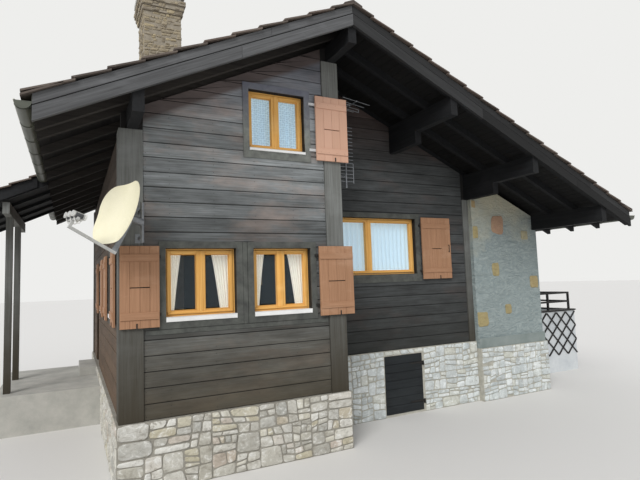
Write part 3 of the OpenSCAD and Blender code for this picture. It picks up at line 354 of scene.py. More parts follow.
# Thin field stones of the chimney, brown, their patches 30 to 60 mm across
chimney_finish = stone("brown_field_stones", [
    (0.0, "#857b6a"), (0.3, "#a6997f"), (0.55, "#948a7a"), (0.8, "#b5a685"), (1.0, "#786e5f")],
    stained="#62584b", pale="#b9af9c", per_metre=(16, 16, 34))
# Field stones set in the render, ochre and salmon
inset_finish = stone("ochre_and_salmon_stones", [
    (0.0, "#a98672"), (0.3, "#a28b66"), (0.6, "#a5976c"), (0.85, "#9c8f68"), (1.0, "#aeaa92")],
    stained="#8a7a58", pale="#b3a480")
# Lime mortar pointed nearly flush, close to the stones' own colour
mortar_finish = mottled("lime_mortar", "#a5a296", "#c1beb2", (9, 9, 9), depth=0.012)
# The same on the front block, darker: tan-grey, with the shade in the joints between the stones
# painted in
joint_shade_mortar = mottled("lime_mortar_with_painted_joint_shade", "#88847a", "#a5a196", (9, 9, 9), depth=0.012)
chimney_mortar = mottled("chimney_mortar", "#877e6f", "#a39a89", (9, 9, 9), depth=0.006)
# Concrete and cement floated smooth, and lime paint on render
concrete_finish = mottled("floated_concrete", "#a3a29b", "#bcbab2", depth=0.002)
ledge_finish = mottled("floated_cement_ledge", "#77827f", "#8d9592", depth=0.003)
# The terrace's white walls, painted grey-blue and darker than white for the shade they stand in
white_shaded_finish = mottled("white_render", "#c3c8cb", "#dadddd", depth=0.003)
# Coated steel gutters, dull olive brown; their rolled rim is painted pale as a highlight
zinc_finish = mottled("coated_gutters", "#3d4038", "#53564b", (2, 2, 6), 0.45, 0.0004)
rim_highlight_finish = mottled("gutter_rim_painted_highlight", "#b3b3a8", "#cbcabf", (2, 2, 6), 0.45, 0.0003,
                     Metallic=0.2)
# Forged iron with black paint, and galvanised steel, dull grey
iron_finish = mottled("black_iron", "#1b1a19", "#2c2a28", (20, 20, 20), 0.55, 0.0006,
                      Metallic=0.4)
pale_iron_finish = mottled("galvanised_hinges", "#b4b5b6", "#d2d3d4", (20, 20, 20), 0.4,
                           0.0004, Metallic=0.3)
galvanised_finish = mottled("galvanised_tube", "#707377", "#8f9296", (15, 15, 15), 0.42,
                            0.0003, Metallic=0.7)
# White gloss paint on planed wood
sill_finish = mottled("white_painted_sills", "#dcdcda", "#eeeeec", rough=0.5, depth=0.0005)
# Powder coat on pressed steel, gone cream, and moulded ABS in three shades on the feed
dish_finish = mottled("aged_cream_powder_coat", "#e6e0c0", "#f2ecd0", (2, 2, 2), 0.42, 0.0003)
feed_finish, feed_body_finish, feed_cap_finish = (
    mottled(name, dark, light, (15, 15, 15), rough, 0.0002) for name, dark, light, rough in (
        ("moulded_feed_housings", "#a9a9a6", "#c2c2bf", 0.45),
        ("grey_feed_bodies", "#3c3d40", "#56575a", 0.45),
        ("white_feed_caps", "#d9d8d4", "#ecebe7", 0.4)))


def tile_material():
    """Flat fired clay tiles, brown gone grey, with pale lichen in spots."""
    material, tree, shader = finish_of("brown_clay_tiles", 0.82)
    tone = add(tree, "ShaderNodeAttribute", "Fac", attribute_name="tone")
    colour = add(tree, "ShaderNodeValToRGB", "Color", {"Fac": tone}, [
        (0.0, "#4b423c"), (0.35, "#625850"), (0.7, "#5b4e46"), (1.0, "#736860")])
    clouds = pattern(tree, (5, 5, 5), detail=6, rough=0.7)
    colour = varied(tree, colour, clouds, 0.75, 1.25)
    spots = pattern(tree, (13, 13, 13), detail=6, rough=0.75)
    colour = tinted(tree, colour, "#8f8a7e", spots, 0.6, 0.72, 0.7)
    dressed(tree, shader, colour, pattern(tree, (60, 60, 60), detail=4), 0.002)
    return material


def render_material():
    """Cement render swept with a trowel: short curved strokes over coarse sand."""
    material, tree, shader = finish_of("swept_cement_render", 0.9)
    strokes = pattern(tree, (4, 4, 9), turn=(0, math.radians(28), 0), detail=5, rough=0.6,
                      bend=2.6)
    clouds = pattern(tree, (1.3, 1.3, 1.3), detail=5, rough=0.6)
    sand = pattern(tree, (70, 70, 70), detail=4, rough=0.7)
    colour = add(tree, "ShaderNodeValToRGB", "Color", {"Fac": strokes}, [
        (0.28, "#7e8b8c"), (0.5, "#909b9a"), (0.72, "#a3adab")])
    colour = varied(tree, colour, clouds, 0.86, 1.14)
    colour = varied(tree, colour, sand, 0.92, 1.08)
    # Creamier in patches under the eaves, from z 3 m up
    wobble = add(tree, "ShaderNodeMath", "Value", {0: clouds, 1: 2.6, 2: along_axis(tree, "Z")},
                 operation="MULTIPLY_ADD")
    colour = tinted(tree, colour, "#c6bda0", wobble, 4.5, 5.5, 0.7)
    both = add(tree, "ShaderNodeMath", "Value", {0: sand, 1: 0.25, 2: strokes},
               operation="MULTIPLY_ADD")
    dressed(tree, shader, colour, both, 0.035)
    return material


def cloth_material(name, colour, shadow, thread, daylight):
    """Woven curtain cloth with a faint glow: painted light for the room's daylight that comes
    through it.

    The threads are drawn 4 mm apart, as coarse as shows, and the lace's meshes 36 mm.
    """
    material, tree, shader = finish_of(name, 0.85, Emission_Strength=daylight,
                                       Emission_Color=linear(colour))
    place = add(tree, "ShaderNodeMapping", "Vector", {
        "Vector": add(tree, "ShaderNodeTexCoord", "Object"), "Scale": (thread, 1, thread)})
    weave = add(tree, "ShaderNodeTexVoronoi", "Distance",
                {"Vector": place, "Scale": 1.0, "Randomness": 0.35})
    tint = add(tree, "ShaderNodeValToRGB", "Color", {"Fac": weave},
               [(0.1, shadow), (0.75, colour)])
    dressed(tree, shader, tint, weave, 0.0008)
    return material


tile_finish = tile_material()
render_finish = render_material()
# Clear float glass: a little of the room shows and the rest is reflection; the blue-grey tint is a
# painted reflection of the sky
glass_finish = finish_of("float_glass", 0.02, Alpha=0.09, Specular_IOR_Level=1.0,
                         Base_Color=linear("#6f7f88"))[0]
cream_cloth = cloth_material("cream_cotton", "#fdfbf0", "#e6e4d8", 250, 0.16)
# The net and the voile are tinted sky blue and glow more: painted reflection of the sky in the
# glass before them
net_cloth = cloth_material("net_lace", "#cbe6f6", "#7fa3bd", 28, 0.4)
sheer_cloth = cloth_material("sheer_voile", "#d9f0fc", "#bcd9ea", 250, 0.34)


# Solids gathered into one piece
class Stock:
    """Points and faces of one piece, with the grain's own map and each part's tone."""

    def __init__(self, seed):
        self.chance = random.Random(seed)
        self.points, self.faces, self.grain, self.tones = [], [], [], []

    def solid(self, points, faces, along, tone=None):
        """Adds a closed solid whose faces point outwards, with its grain along a direction."""
        start = len(self.points)
        self.points += points
        tone = self.chance.random() if tone is None else tone
        shift_u, shift_v = self.chance.uniform(0, 50), self.chance.uniform(0, 50)
        for face in faces:
            normal = Vector()
            for i, j in zip(face[1:], face[2:]):
                normal += (points[i] - points[face[0]]).cross(points[j] - points[i])
            first, across = along, along.cross(normal.normalized())
            if across.length < 0.2:
                across = along.orthogonal()
                first = along.cross(across)
            else:
                across.normalize()
            self.grain += [(points[i].dot(first) + shift_u, points[i].dot(across) + shift_v)
                           for i in face]
            self.faces.append([start + i for i in face])
            self.tones.append(tone)

    def piece(self, name, material, slot, body=HOUSE, replaces=(), smooth=False):
        """The object, riding on its body."""
        mesh = mesh_of(name, self.points, self.faces)
        layer = mesh.uv_layers.new(name="grain")
        layer.data.foreach_set("uv", [n for pair in self.grain for n in pair])
        tones = mesh.attributes.new("tone", "FLOAT", "FACE")
        tones.data.foreach_set("value", self.tones)
        mesh.materials.append(material)
        if smooth:
            mesh.shade_smooth()
        obj = placed(name, mesh)
        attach(obj, body)
        if replaces:
            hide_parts(*replaces)


def area_of(outline):
    """An outline's area, negative where it runs clockwise."""
    return sum(a[0] * b[1] - b[0] * a[1] for a, b in zip(outline, outline[1:] + outline[:1])) / 2


def shrunk(outline, by):
    """An outline that runs anticlockwise, moved inwards."""
    moved = []
    for i, (x, y) in enumerate(outline):
        px, py = outline[i - 1]
        nx, ny = outline[(i + 1) % len(outline)]
        a, b = Vector((x - px, y - py)), Vector((nx - x, ny - y))
        if a.length < 1e-6 or b.length < 1e-6:
            moved.append((x, y))
            continue
        a.normalize()
        b.normalize()
        normal = Vector((-a.y - b.y, a.x + b.x))
        size = normal.length
        if size < 0.3:
            moved.append((x - a.y * by, y + a.x * by))
            continue
        normal /= size
        moved.append((x + normal.x * by * 2 / size, y + normal.y * by * 2 / size))
    return moved


def board(stock, outline, place, thick, bevel=4, along=None, tone=None, rings=None, crown=0,
          foot=0):
    """A board, stone or tile: an outline on a face of the house, drawn out and bevelled.

    place(a, b, c) gives the point for outline coordinates a and b at height c over the face.
    """
    origin = place(0, 0, 0)
    axes = [place(*way) - origin for way in ((1000, 0, 0), (0, 1000, 0), (0, 0, 1000))]
    if area_of(outline) < 0:
        outline = outline[::-1]
    rings = rings or [(foot, 0), (thick - bevel, 0), (thick, bevel)]
    count = len(outline)
    points = []
    for height, inset in rings:
        points += [place(a, b, height) for a, b in (shrunk(outline, inset) if inset else outline)]
    faces = [list(range(count))[::-1]]
    for low in range(0, (len(rings) - 1) * count, count):
        high = low + count
        faces += [[low + i, low + (i + 1) % count, high + (i + 1) % count, high + i]
                  for i in range(count)]
    top = (len(rings) - 1) * count
    if crown:
        middle = sum((points[top + i] for i in range(count)), Vector()) / count
        points.append(middle + axes[2].normalized() * crown / 1000)
        faces += [[top + i, top + (i + 1) % count, len(points) - 1] for i in range(count)]
    else:
        faces.append([top + i for i in range(count)])
    if axes[0].cross(axes[1]).dot(axes[2]) < 0:
        faces = [f[::-1] for f in faces]
    stock.solid(points, faces, axes[0].normalized() if along is None else along, tone)


def rect(a0, a1, b0, b1):
    """A rectangle's outline, anticlockwise from its low left corner."""
    return [(a0, b0), (a1, b0), (a1, b1), (a0, b1)]


def tube(stock, start, end, radius, sides=10, end_radius=None):
    """A round bar between two points, in millimetres."""
    a, b = at(*start), at(*end)
    axis = (b - a).normalized()
    side = axis.orthogonal().normalized()
    other = axis.cross(side)
    points = []
    for centre, r in ((a, radius), (b, end_radius or radius)):
        points += [centre + (side * math.cos(t) + other * math.sin(t)) * r / 1000
                   for t in (2 * math.pi * i / sides for i in range(sides))]
    faces = [list(range(sides))[::-1], [sides + i for i in range(sides)]]
    faces += [[i, (i + 1) % sides, sides + (i + 1) % sides, sides + i] for i in range(sides)]
    stock.solid(points, faces, axis)


def facing(axis, place, out):
    """A wall's face across an axis, as at() for places along it, up, and out of it."""
    if axis == "y":
        return lambda a, b, c: at(a, place + out * c, b)
    return lambda a, b, c: at(place + out * c, a, b)


def lifted(face, by):
    """A face moved outwards."""
    return lambda a, b, c: face(a, b, c + by)


FRONT, FRONT_R, BACK = facing("y", 0, -1), facing("y", SETBACK, -1), facing("y", HOUSE_D, 1)
LEFT, RIGHT, RETURN = facing("x", 0, -1), facing("x", HOUSE_W, 1), facing("x", BLOCK_W, 1)

# Windows: face, place along the wall, sill, width and height
LOW_Z, GABLE_Z, STEP_UP = 2124, 4501, 345
WINDOWS = {
    "left": (FRONT, 543, LOW_Z, 959, 911), "middle": (FRONT, 1757, LOW_Z, 905, 911),
    "gable": (FRONT, 1733, GABLE_Z, 897, 890), "wide": (FRONT_R, 3390, 2610, 2080, 1076),
    "side_1": (LEFT, 950, LOW_Z, 950, 911), "side_2": (LEFT, 3700, LOW_Z, 950, 911),
    "far_1": (RIGHT, 2700, LOW_Z + 200, 950, 911), "far_2": (RIGHT, 5300, LOW_Z + 200, 950, 911),
    "back_1": (BACK, 1100, LOW_Z, 950, 911), "back_2": (BACK, 3800, LOW_Z + STEP_UP, 950, 911),
    "back_3": (BACK, 6300, LOW_Z + STEP_UP, 950, 911),
    "back_gable": (BACK, RIDGE_X - 475, GABLE_Z, 950, 890)}
# The entrance door's opening in the left wall: from, to, the step under it, and its head
ENTRY_Y0, ENTRY_Y1, ENTRY_Z0, ENTRY_Z1 = 5300, 6280, 1030, 3090


def holes_of(wall):
    """The window openings in one wall's face: from, to, foot and head."""
    return [(x, x + w, z, z + h) for face, x, z, w, h in WINDOWS.values() if face is wall]


def purlin_hole(x, under=0):
    """Where a purlin, and what stands under it, passes through the boards."""
    return (x - PURLIN_W / 2, x + PURLIN_W / 2, verge(x) - PURLIN_H - under, verge(x) + 200)


# Wall boards
def clipped(outline, a, b, c):
    """The part of an outline where a*x + b*y <= c."""
    kept = []
    for i, p in enumerate(outline):
        q = outline[(i + 1) % len(outline)]
        dp, dq = a * p[0] + b * p[1] - c, a * q[0] + b * q[1] - c
        if dp <= 0:
            kept.append(p)
        if (dp < 0 < dq) or (dq < 0 < dp):
            kept.append(between(p, q, dp / (dp - dq)))
    return kept


def between(p, q, t):
    """The point at a share t of the way from p to q."""
    return (p[0] + (q[0] - p[0]) * t, p[1] + (q[1] - p[1]) * t)


def row_outlines(x0, x1, z0, z1, holes):
    """The parts of a row of boarding that the openings leave, as outlines."""
    places = sorted({x0, x1} | {min(max(x, x0), x1) for h in holes
                                if h[2] < z1 and h[3] > z0 for x in h[:2]})
    runs, run = [], []
    for a, b in zip(places, places[1:]):
        low, high = z0, z1
        for h in holes:
            if h[0] < b - 1 and h[1] > a + 1 and h[2] < z1 and h[3] > z0:
                if h[2] <= z0:
                    low = max(low, h[3])
                else:
                    high = min(high, h[2])
        if high - low < 15 or b - a < 10:
            run = []
            continue
        if not run:
            runs.append(run)
        run.append((a, b, low, high))
    outlines = []
    for run in runs:
        lower = [p for a, b, low, _ in run for p in ((a, low), (b, low))]
        upper = [p for a, b, _, high in run for p in ((a, high), (b, high))][::-1]
        outline = []
        for p in lower + upper:
            if not outline or (abs(p[0] - outline[-1][0]) + abs(p[1] - outline[-1][1])) > 1:
                outline.append(p)
        outlines.append(outline)
    return outlines


# Boards 16 mm thick in rows of 200 mm; no scrap under 40 cm2; uprights behind every 600 mm
ROW, JOINT, BOARD_T, SCRAP, UPRIGHTS = 200, 9, 16, 4000, 600
wall_nails = []


def nail_board(part, face, z):
    """Two nails at each end and over every upright behind, on whole boards only."""
    start, end = min(p[0] for p in part), max(p[0] for p in part)
    whole = abs(area_of(part)) > 0.98 * (end - start) * (ROW - JOINT)
    if len(part) != 4 or end - start <= 200 or not whole:
        return
    spots = [start + 30, end - 30] + [x for x in range(0, HOUSE_W, UPRIGHTS)
                                      if start + 90 < x < end - 90]
    wall_nails.extend((face, x, z + share * ROW, BOARD_T - 2.5)
                      for x in spots for share in (0.24, 0.76))


def clad(name, seed, face, x0, x1, z0, z1, holes=(), slopes=(), lengths=(2600, 4200),
         finish=boards_finish):
    """Boards in rows up a wall, with butt joints where the wall is longer than a board."""
    stock = Stock(seed)
    z = z0
    while z < z1:
        top = min(z + ROW, z1)
        for outline in row_outlines(x0, x1, z + JOINT / 2, top - JOINT / 2, holes):
            for a, b, c in slopes:
                outline = clipped(outline, a, b, c)
            if len(outline) < 3 or abs(area_of(outline)) < SCRAP:
                continue
            start, end = min(p[0] for p in outline), max(p[0] for p in outline)
            cuts = [start]
            while end - cuts[-1] > lengths[1]:
                cuts.append(cuts[-1] + stock.chance.uniform(*lengths))
            for a, b in zip(cuts, cuts[1:] + [end + 10]):
                part = clipped(clipped(outline, -1, 0, -(a + 1.5)), 1, 0, b - 1.5)
                if len(part) < 3 or abs(area_of(part)) <= SCRAP:
                    continue
                board(stock, part, face, BOARD_T + stock.chance.uniform(-1.5, 1.5), 7)
                if top - z == ROW:
                    nail_board(part, face, z)
        z = top
    stock.piece(name, finish, "weathered_boards")


# The two slopes as limits for an outline in x and z
SLOPES = [(-PITCH_L, 1, VERGE_Z + SOFFIT - RIDGE_X * PITCH_L),
          (PITCH_R, 1, VERGE_Z + SOFFIT + RIDGE_X * PITCH_R)]
CORBEL_H, BACK_END = 214, 8490
clad("boards_front_left", 11, FRONT, POST_L, BLOCK_W - POST_R, BASE_H, VERGE_Z,
     holes_of(FRONT) + [(1500, 1760, LOW_Z - 150, LOW_Z + 1001), purlin_hole(RIDGE_X)], SLOPES)
clad("boards_front_right", 12, FRONT_R, BLOCK_W, TIMBER_R - POST_END, BASE_R_H, VERGE_Z,
     holes_of(FRONT_R) + [purlin_hole(x, CORBEL_H) for x in (5014, TIMBER_R)], SLOPES,
     (3800, 5200), recess_shade_finish)
clad("boards_return", 13, RETURN, POST_R, SETBACK, BASE_H, VERGE_Z - PURLIN_H,
     finish=recess_shade_finish)
clad("boards_left", 14, LEFT, POST_L, HOUSE_D - POST_L, BASE_H, verge(PURLINS[0]) - PURLIN_H,
     holes_of(LEFT) + [(ENTRY_Y0, ENTRY_Y1, BASE_H - 10, ENTRY_Z1)], finish=side_finish)
clad("boards_back", 15, BACK, POST_L, BACK_END, BASE_H, VERGE_Z,
     holes_of(BACK) + [purlin_hole(x) for x in PURLINS] + [(BLOCK_W, HOUSE_W, 0, BASE_R_H)],
     SLOPES)

# The broad board between the two low windows and the apron under both, over the boards
apron = Stock(16)
board(apron, rect(1596, 1663, LOW_Z - 148, LOW_Z + 999), FRONT, 26, 3, along=Vector((0, 0, 1)),
      tone=0.45)
board(apron, rect(POST_L + 24, BLOCK_W - POST_R - 24, LOW_Z - 214, LOW_Z - 152), FRONT, 24, 4,
      tone=0.4)
apron.piece("window_apron", casing_finish, "weathered_boards")


# Rubble
def split_region(cell, chance, width, height, corners=()):
    """Cuts a four-sided cell into rough ones of about that size, larger by a house corner.

    A cell's corners run anticlockwise from the low left one.
    """
    p, q, r, s = cell
    w, h = (q[0] - p[0] + r[0] - s[0]) / 2, (s[1] - p[1] + r[1] - q[1]) / 2
    large = 1.4 if any(abs((p[0] + r[0]) / 2 - c) < 330 for c in corners) else 1
    want_w = width * large * chance.choice((0.5, 0.75, 1.0, 1.0, 1.4, 1.8))
    want_h = height * large * chance.choice((0.55, 0.75, 0.9, 1.15, 1.35))
    if w <= want_w * 1.35 and h <= want_h * 1.35:
        return [cell]
    place = chance.uniform(0.36, 0.64)
    if w / want_w > h / want_h:
        lean = chance.uniform(-1, 1) * min(0.1, 22 / w)
        a, b = between(p, q, place + lean), between(s, r, place - lean)
        parts = (p, a, b, s), (a, q, r, b)
    else:
        lean = chance.uniform(-1, 1) * min(0.1, 24 / h)
        a, b = between(p, s, place + lean), between(q, r, place - lean)
        parts = (p, q, b, a), (a, b, r, s)
    return [piece for part in parts
            for piece in split_region(part, chance, width, height, corners)]


def weathered_outline(cell, chance, mortar, ragged=0.05):
    """A stone's outline in its cell: four sides with the corners knocked off, roughened."""
    p, q, r, s = shrunk(list(cell), mortar / 2)
    if q[0] - p[0] < 34 or s[1] - p[1] < 30:
        return None
    square = chance.uniform(0.24, 0.5)
    count = 15 + chance.randrange(4)
    start = chance.uniform(0, 1)
    outline = []
    for i in range(count):
        t = 2 * math.pi * (i + start + chance.uniform(-0.25, 0.25)) / count
        u, v = (math.copysign(abs(f(t)) ** square, f(t)) * (1 + chance.uniform(-ragged, ragged))
                for f in (math.cos, math.sin))
        x, z = between(between(p, q, (u + 1) / 2), between(s, r, (u + 1) / 2), (v + 1) / 2)
        outline.append((x, max(z, 1)))
    return outline


def rubble(name, seed, walls, slot="rubble", size=(235, 160), mortar=17, proud=(7, 22),
           material=rubble_finish, ragged=0.045, corners=()):
    """Split stones over several faces, (face, x0, x1, z0, z1) each, each with its own crown."""
    stock = Stock(seed)
    chance = stock.chance
    for face, x0, x1, z0, z1 in walls:
        for cell in split_region(rect(x0, x1, z0, z1), chance, *size, corners):
            outline = weathered_outline(cell, chance, mortar * chance.uniform(0.5, 1.3), ragged)
            if outline is None:
                continue
            depth = chance.uniform(*proud)
            board(stock, outline, face, depth, crown=chance.uniform(1, 6), rings=[
                (-6, 0), (depth * 0.4, 1), (depth * 0.85, 5), (depth, 11)])
    stock.piece(name, material, slot)


BASE_FRONT, BASE_FRONT_R = facing("y", -BASE_OUT, -1), facing("y", SETBACK - BASE_OUT, -1)
BASE_RENDER, BASE_LEFT = facing("y", RENDER_Y - BASE_OUT, -1), facing("x", -BASE_OUT, -1)
BASE_RIGHT, BASE_BACK = facing("x", HOUSE_W + BASE_OUT, 1), facing("y", HOUSE_D + BASE_OUT, 1)
BASE_RETURN = facing("x", BLOCK_W + BASE_OUT, 1)
BASE_X1, BASE_Y1, BLOCK_X1 = HOUSE_W + BASE_OUT, HOUSE_D + BASE_OUT, BLOCK_W + BASE_OUT
DOOR_X0, DOOR_X1, DOOR_Z0, DOOR_Z1 = 4574, 5434, 40, 1098
# The stones end this far from the porch floor, and from a wall that meets theirs
CLEAR = 5

rubble("rubble_front_left", 21, [(BASE_FRONT, -BASE_OUT, BLOCK_X1, 0, BASE_H)],
       corners=(-BASE_OUT, BLOCK_X1))
rubble("rubble_return", 22, [(BASE_RETURN, -BASE_OUT, SETBACK - BASE_OUT, 0, BASE_H)],
       corners=(-BASE_OUT,))
rubble("rubble_front_right", 23, [
    (BASE_FRONT_R, BLOCK_X1 + CLEAR, DOOR_X0 - 8, 0, BASE_R_H),
    (BASE_FRONT_R, DOOR_X1 + 40, TIMBER_R, 0, BASE_R_H),
    (BASE_FRONT_R, DOOR_X0, DOOR_X1 + 40, DOOR_Z1 + 6, BASE_R_H)],
    size=(215, 165), material=cool_rubble)
rubble("rubble_under_render", 24, [
    (BASE_RENDER, TIMBER_R + CLEAR, BASE_X1, 0, RENDER_BASE_H)], material=cool_rubble)
porch_y0 = PORCH_Y + PORCH_FLOOR_IN - CLEAR
rubble("rubble_left", 25, [
    (BASE_LEFT, -BASE_OUT, porch_y0, 0, BASE_H),
    (BASE_LEFT, porch_y0, PORCH_BACK + CLEAR, PORCH_FLOOR_Z + CLEAR, BASE_H),
    (BASE_LEFT, PORCH_BACK + CLEAR, BASE_Y1, 0, BASE_H)], corners=(-BASE_OUT, BASE_Y1))
rubble("rubble_right", 26, [
    (BASE_RIGHT, RENDER_Y - BASE_OUT, TERRACE_Y0 - 2 * CLEAR, 0, RENDER_BASE_H),
    (BASE_RIGHT, TERRACE_Y1 + 2 * CLEAR, BASE_Y1, 0, RENDER_BASE_H)], material=cool_rubble)
rubble("rubble_back", 27, [
    (BASE_BACK, -BASE_OUT, BLOCK_W, 0, BASE_H), (BASE_BACK, BLOCK_W, BACK_END, 0, BASE_R_H),
    (BASE_BACK, BACK_END, BASE_X1, 0, RENDER_BASE_H)])

# Chimney: a shaft under a head that steps out three times
CHIMNEY = (610, 1290, 2560, 3300)
SHAFT_FOOT, SHAFT_Z, HEAD_STEP, HEAD_OUT = 5300, 7720, 90, 80 / 3


def chimney_walls(grow, low, high):
    """The stack's four faces between two heights, moved out by that much."""
    x0, x1, y0, y1 = CHIMNEY
    return [(facing(axis, place + out * grow, out), a - grow, b + grow, low, high)
            for axis, place, out, a, b in (("y", y0, -1, x0, x1), ("y", y1, 1, x0, x1),
                                           ("x", x0, -1, y0, y1), ("x", x1, 1, y0, y1))]


stack = chimney_walls(0, SHAFT_FOOT, SHAFT_Z)
for step in (1, 2, 3):
    stack += chimney_walls(HEAD_OUT * step, SHAFT_Z + (step - 1) * HEAD_STEP + 3,
                           SHAFT_Z + step * HEAD_STEP - 3)
rubble("chimney_stones", 28, stack, "chimney_masonry", (115, 58), 9, (5, 14), chimney_finish,
       0.04)

# Stones set in the render: place, half width, half height and tone
inset = Stock(31)
for x, z, half_w, half_h, tone in (
        (6930, 4030, 55, 80, 0.35), (7586, 3600, 180, 195, 0.05), (8390, 3390, 110, 100, 0.95),
        (6945, 3440, 75, 130, 0.6), (7456, 2650, 95, 140, 0.7), (8600, 2350, 120, 130, 0.5),
        (7754, 1800, 95, 105, 0.8), (7020, 1620, 145, 150, 0.65)):
    cell = [(x + a * half_w * inset.chance.uniform(0.86, 1.1),
             z + b * half_h * inset.chance.uniform(0.86, 1.1))
            for a, b in ((-1, -1), (1, -1), (1, 1), (-1, 1))]
    board(inset, weathered_outline(cell, inset.chance, 0, 0.06), facing("y", RENDER_Y, -1), 12,
          tone=tone, rings=[(-6, 0), (5, 0), (10, 6), (12, 15)], crown=2)
inset.piece("render_stones", inset_finish, "rubble")

# The ledge at the render's foot, floated smooth
ledge = Stock(32)
board(ledge, rect(TIMBER_R + 2, HOUSE_W + 28, RENDER_BASE_H + 2, RENDER_BASE_H + 198),
      facing("y", RENDER_Y - 30, -1), 2, 1, foot=-1)
ledge.piece("render_ledge", ledge_finish, "rough_render")

# Roof covering
COVER_T, RISE, COURSE, TILE_W, LAP = 26, 34, 370, 250, 0.12


def tiles(name, seed, x_eave, x_top, y0, y1, node, hole=None, lip=0, plain=(0, 0)):
    """Flat tiles in lapped courses, broken joint, each a little out of true.

    The first course reaches past the eave by lip, except where its middle lies in plain.
    A tile's outline runs along the eave in millimetres and up the slope in courses.
    """
    stock = Stock(seed)
    count = math.ceil(abs(x_top - x_eave) / COURSE)
    step = (x_top - x_eave) / count
    columns = round((y1 - y0) / TILE_W)
    width = (y1 - y0) / columns
    for i in range(-1, count):
        # Course -1 is the short one under the first
        under = i < 0
        butt = x_eave + max(i, 0) * step
        end = 0.8 if under else 1.0 if i == count - 1 else 1 + LAP
        for j in range(columns + i % 2):
            a0 = y0 + (j - i % 2 / 2) * width
            a1 = min(a0 + width, y1) - 3
            a0 = max(a0, y0)
            if a1 - a0 < 40:
                continue
            lift, skew = stock.chance.uniform(-2, 1.5), stock.chance.uniform(-5, 3)

            def place(a, b, c):
                x = butt + b / COURSE * step
                base = 0 if under else RISE * (1 - b / COURSE)
                return at(x, a, verge(x) + COVER + base + c + lift * (1 - b / COURSE) + 2)

            over = 0 if plain[0] < (a0 + a1) / 2 < plain[1] else lip / COURSE
            start = -over if under else skew / COURSE - (0 if i else over)
            pieces = [rect(a0 + 1, a1, start, end)]
            if hole:
                x0, x1, h0, h1 = hole
                low, high = sorted(((x0 - butt) / step, (x1 - butt) / step))
                if low < end and high > 0 and a0 < h1 and a1 > h0:
                    whole = pieces[0]
                    middle = clipped(clipped(whole, -1, 0, -h0), 1, 0, h1)
                    cut = (clipped(whole, 1, 0, h0), clipped(whole, -1, 0, -h1),
                           clipped(middle, 0, 1, low), clipped(middle, 0, -1, -high))
                    pieces = [p for p in cut if len(p) > 2 and abs(area_of(p)) > 3]
            for outline in pieces:
                board(stock, [(a, b * COURSE) for a, b in outline], place,
                      COVER_T - 2 - max(lift, 0), 3)
    stock.piece(name, tile_finish, "roof_tiles", replaces=[node])


around_chimney = (CHIMNEY[0] - 12, CHIMNEY[1] + 12, CHIMNEY[2] - 12, CHIMNEY[3] + 12)
tiles("tiles_left", 41, EAVE_L, RIDGE_X, COVER_Y0, COVER_Y1, "roof_cover_left", around_chimney,
      110, (PORCH_Y - 2 * PORCH_LIP, PORCH_BACK + 2 * PORCH_LIP))
tiles("tiles_right", 42, EAVE_R + COVER_LIP, RIDGE_X, COVER_Y0, COVER_Y1, "roof_cover_right")
tiles("tiles_porch", 43, PORCH_X, EAVE_L, PORCH_Y - PORCH_LIP, PORCH_BACK + PORCH_LIP,
      "porch_roof_cover", lip=60)


# Verge boards
def slope_strip(x0, x1, low, high):
    """The outline of a strip along the verge, between two heights over its lower edge."""
    return [(x0, verge(x0) + low), (x1, verge(x1) + low), (x1, verge(x1) + high),
            (x0, verge(x0) + high)]


planks = Stock(51)
for y, out in ((VERGE_FRONT, -1), (VERGE_BACK, 1)):
    face = facing("y", y, out)
    for x0, x1, cuts, tone in ((EAVE_L, RIDGE_X, [1400], 0.73),
                               (RIDGE_X, EAVE_R, [5600, 7900], 0.1)):
        slope = (face(x1, verge(x1), 0) - face(x0, verge(x0), 0)).normalized()
        for low, high, thick in ((0, 170, 50), (186, COVER, 34)):
            places = [x0] + [c + (low > 0) * 420 for c in cuts] + [x1]
            for a, b in zip(places, places[1:]):
                board(planks, slope_strip(a + 0.8, b - 0.8, low, high), face, thick, 4,
                      along=slope, tone=tone + planks.chance.uniform(-0.1, 0.1))
            board(planks, slope_strip(x0 + 2, x1 - 2, 160, 190), face, 14, 2, along=slope, tone=0)
planks.piece("verge_planks", verge_finish, "grey_boards", replaces=["barge_boards"])

# Boards under the roof, seen from below in the overhangs
# The left slope's underside catches the daylight, most of all near the wall's left corner
soffit = Stock(52)
for x0, x1 in ((EAVE_L, RIDGE_X), (RIDGE_X, EAVE_R)):
    count = round((x1 - x0) / 125)
    for i in range(count):
        a, b = x0 + (x1 - x0) * i / count + 2, x0 + (x1 - x0) * (i + 1) / count - 2
        lit = 0.25 if b < 0 else max(0.05, 0.62 - 0.55 * a / RIDGE_X)
        board(soffit, rect(VERGE_FRONT + 1, VERGE_BACK - 1, a, b),
              lambda h, x, c: at(x, h, verge(x) + DECK - c), 7, 2, along=Vector((0, 1, 0)),
              tone=lit + soffit.chance.uniform(-0.05, 0.05))
soffit.piece("soffit_boards", soffit_finish, "dark_beams")

# Windows
FRAME_IN, FRAME_T, FRAME_W, SASH_W, STILE_W, SASH_OUT, BEAD = 84, 70, 26, 50, 62, 12, 8


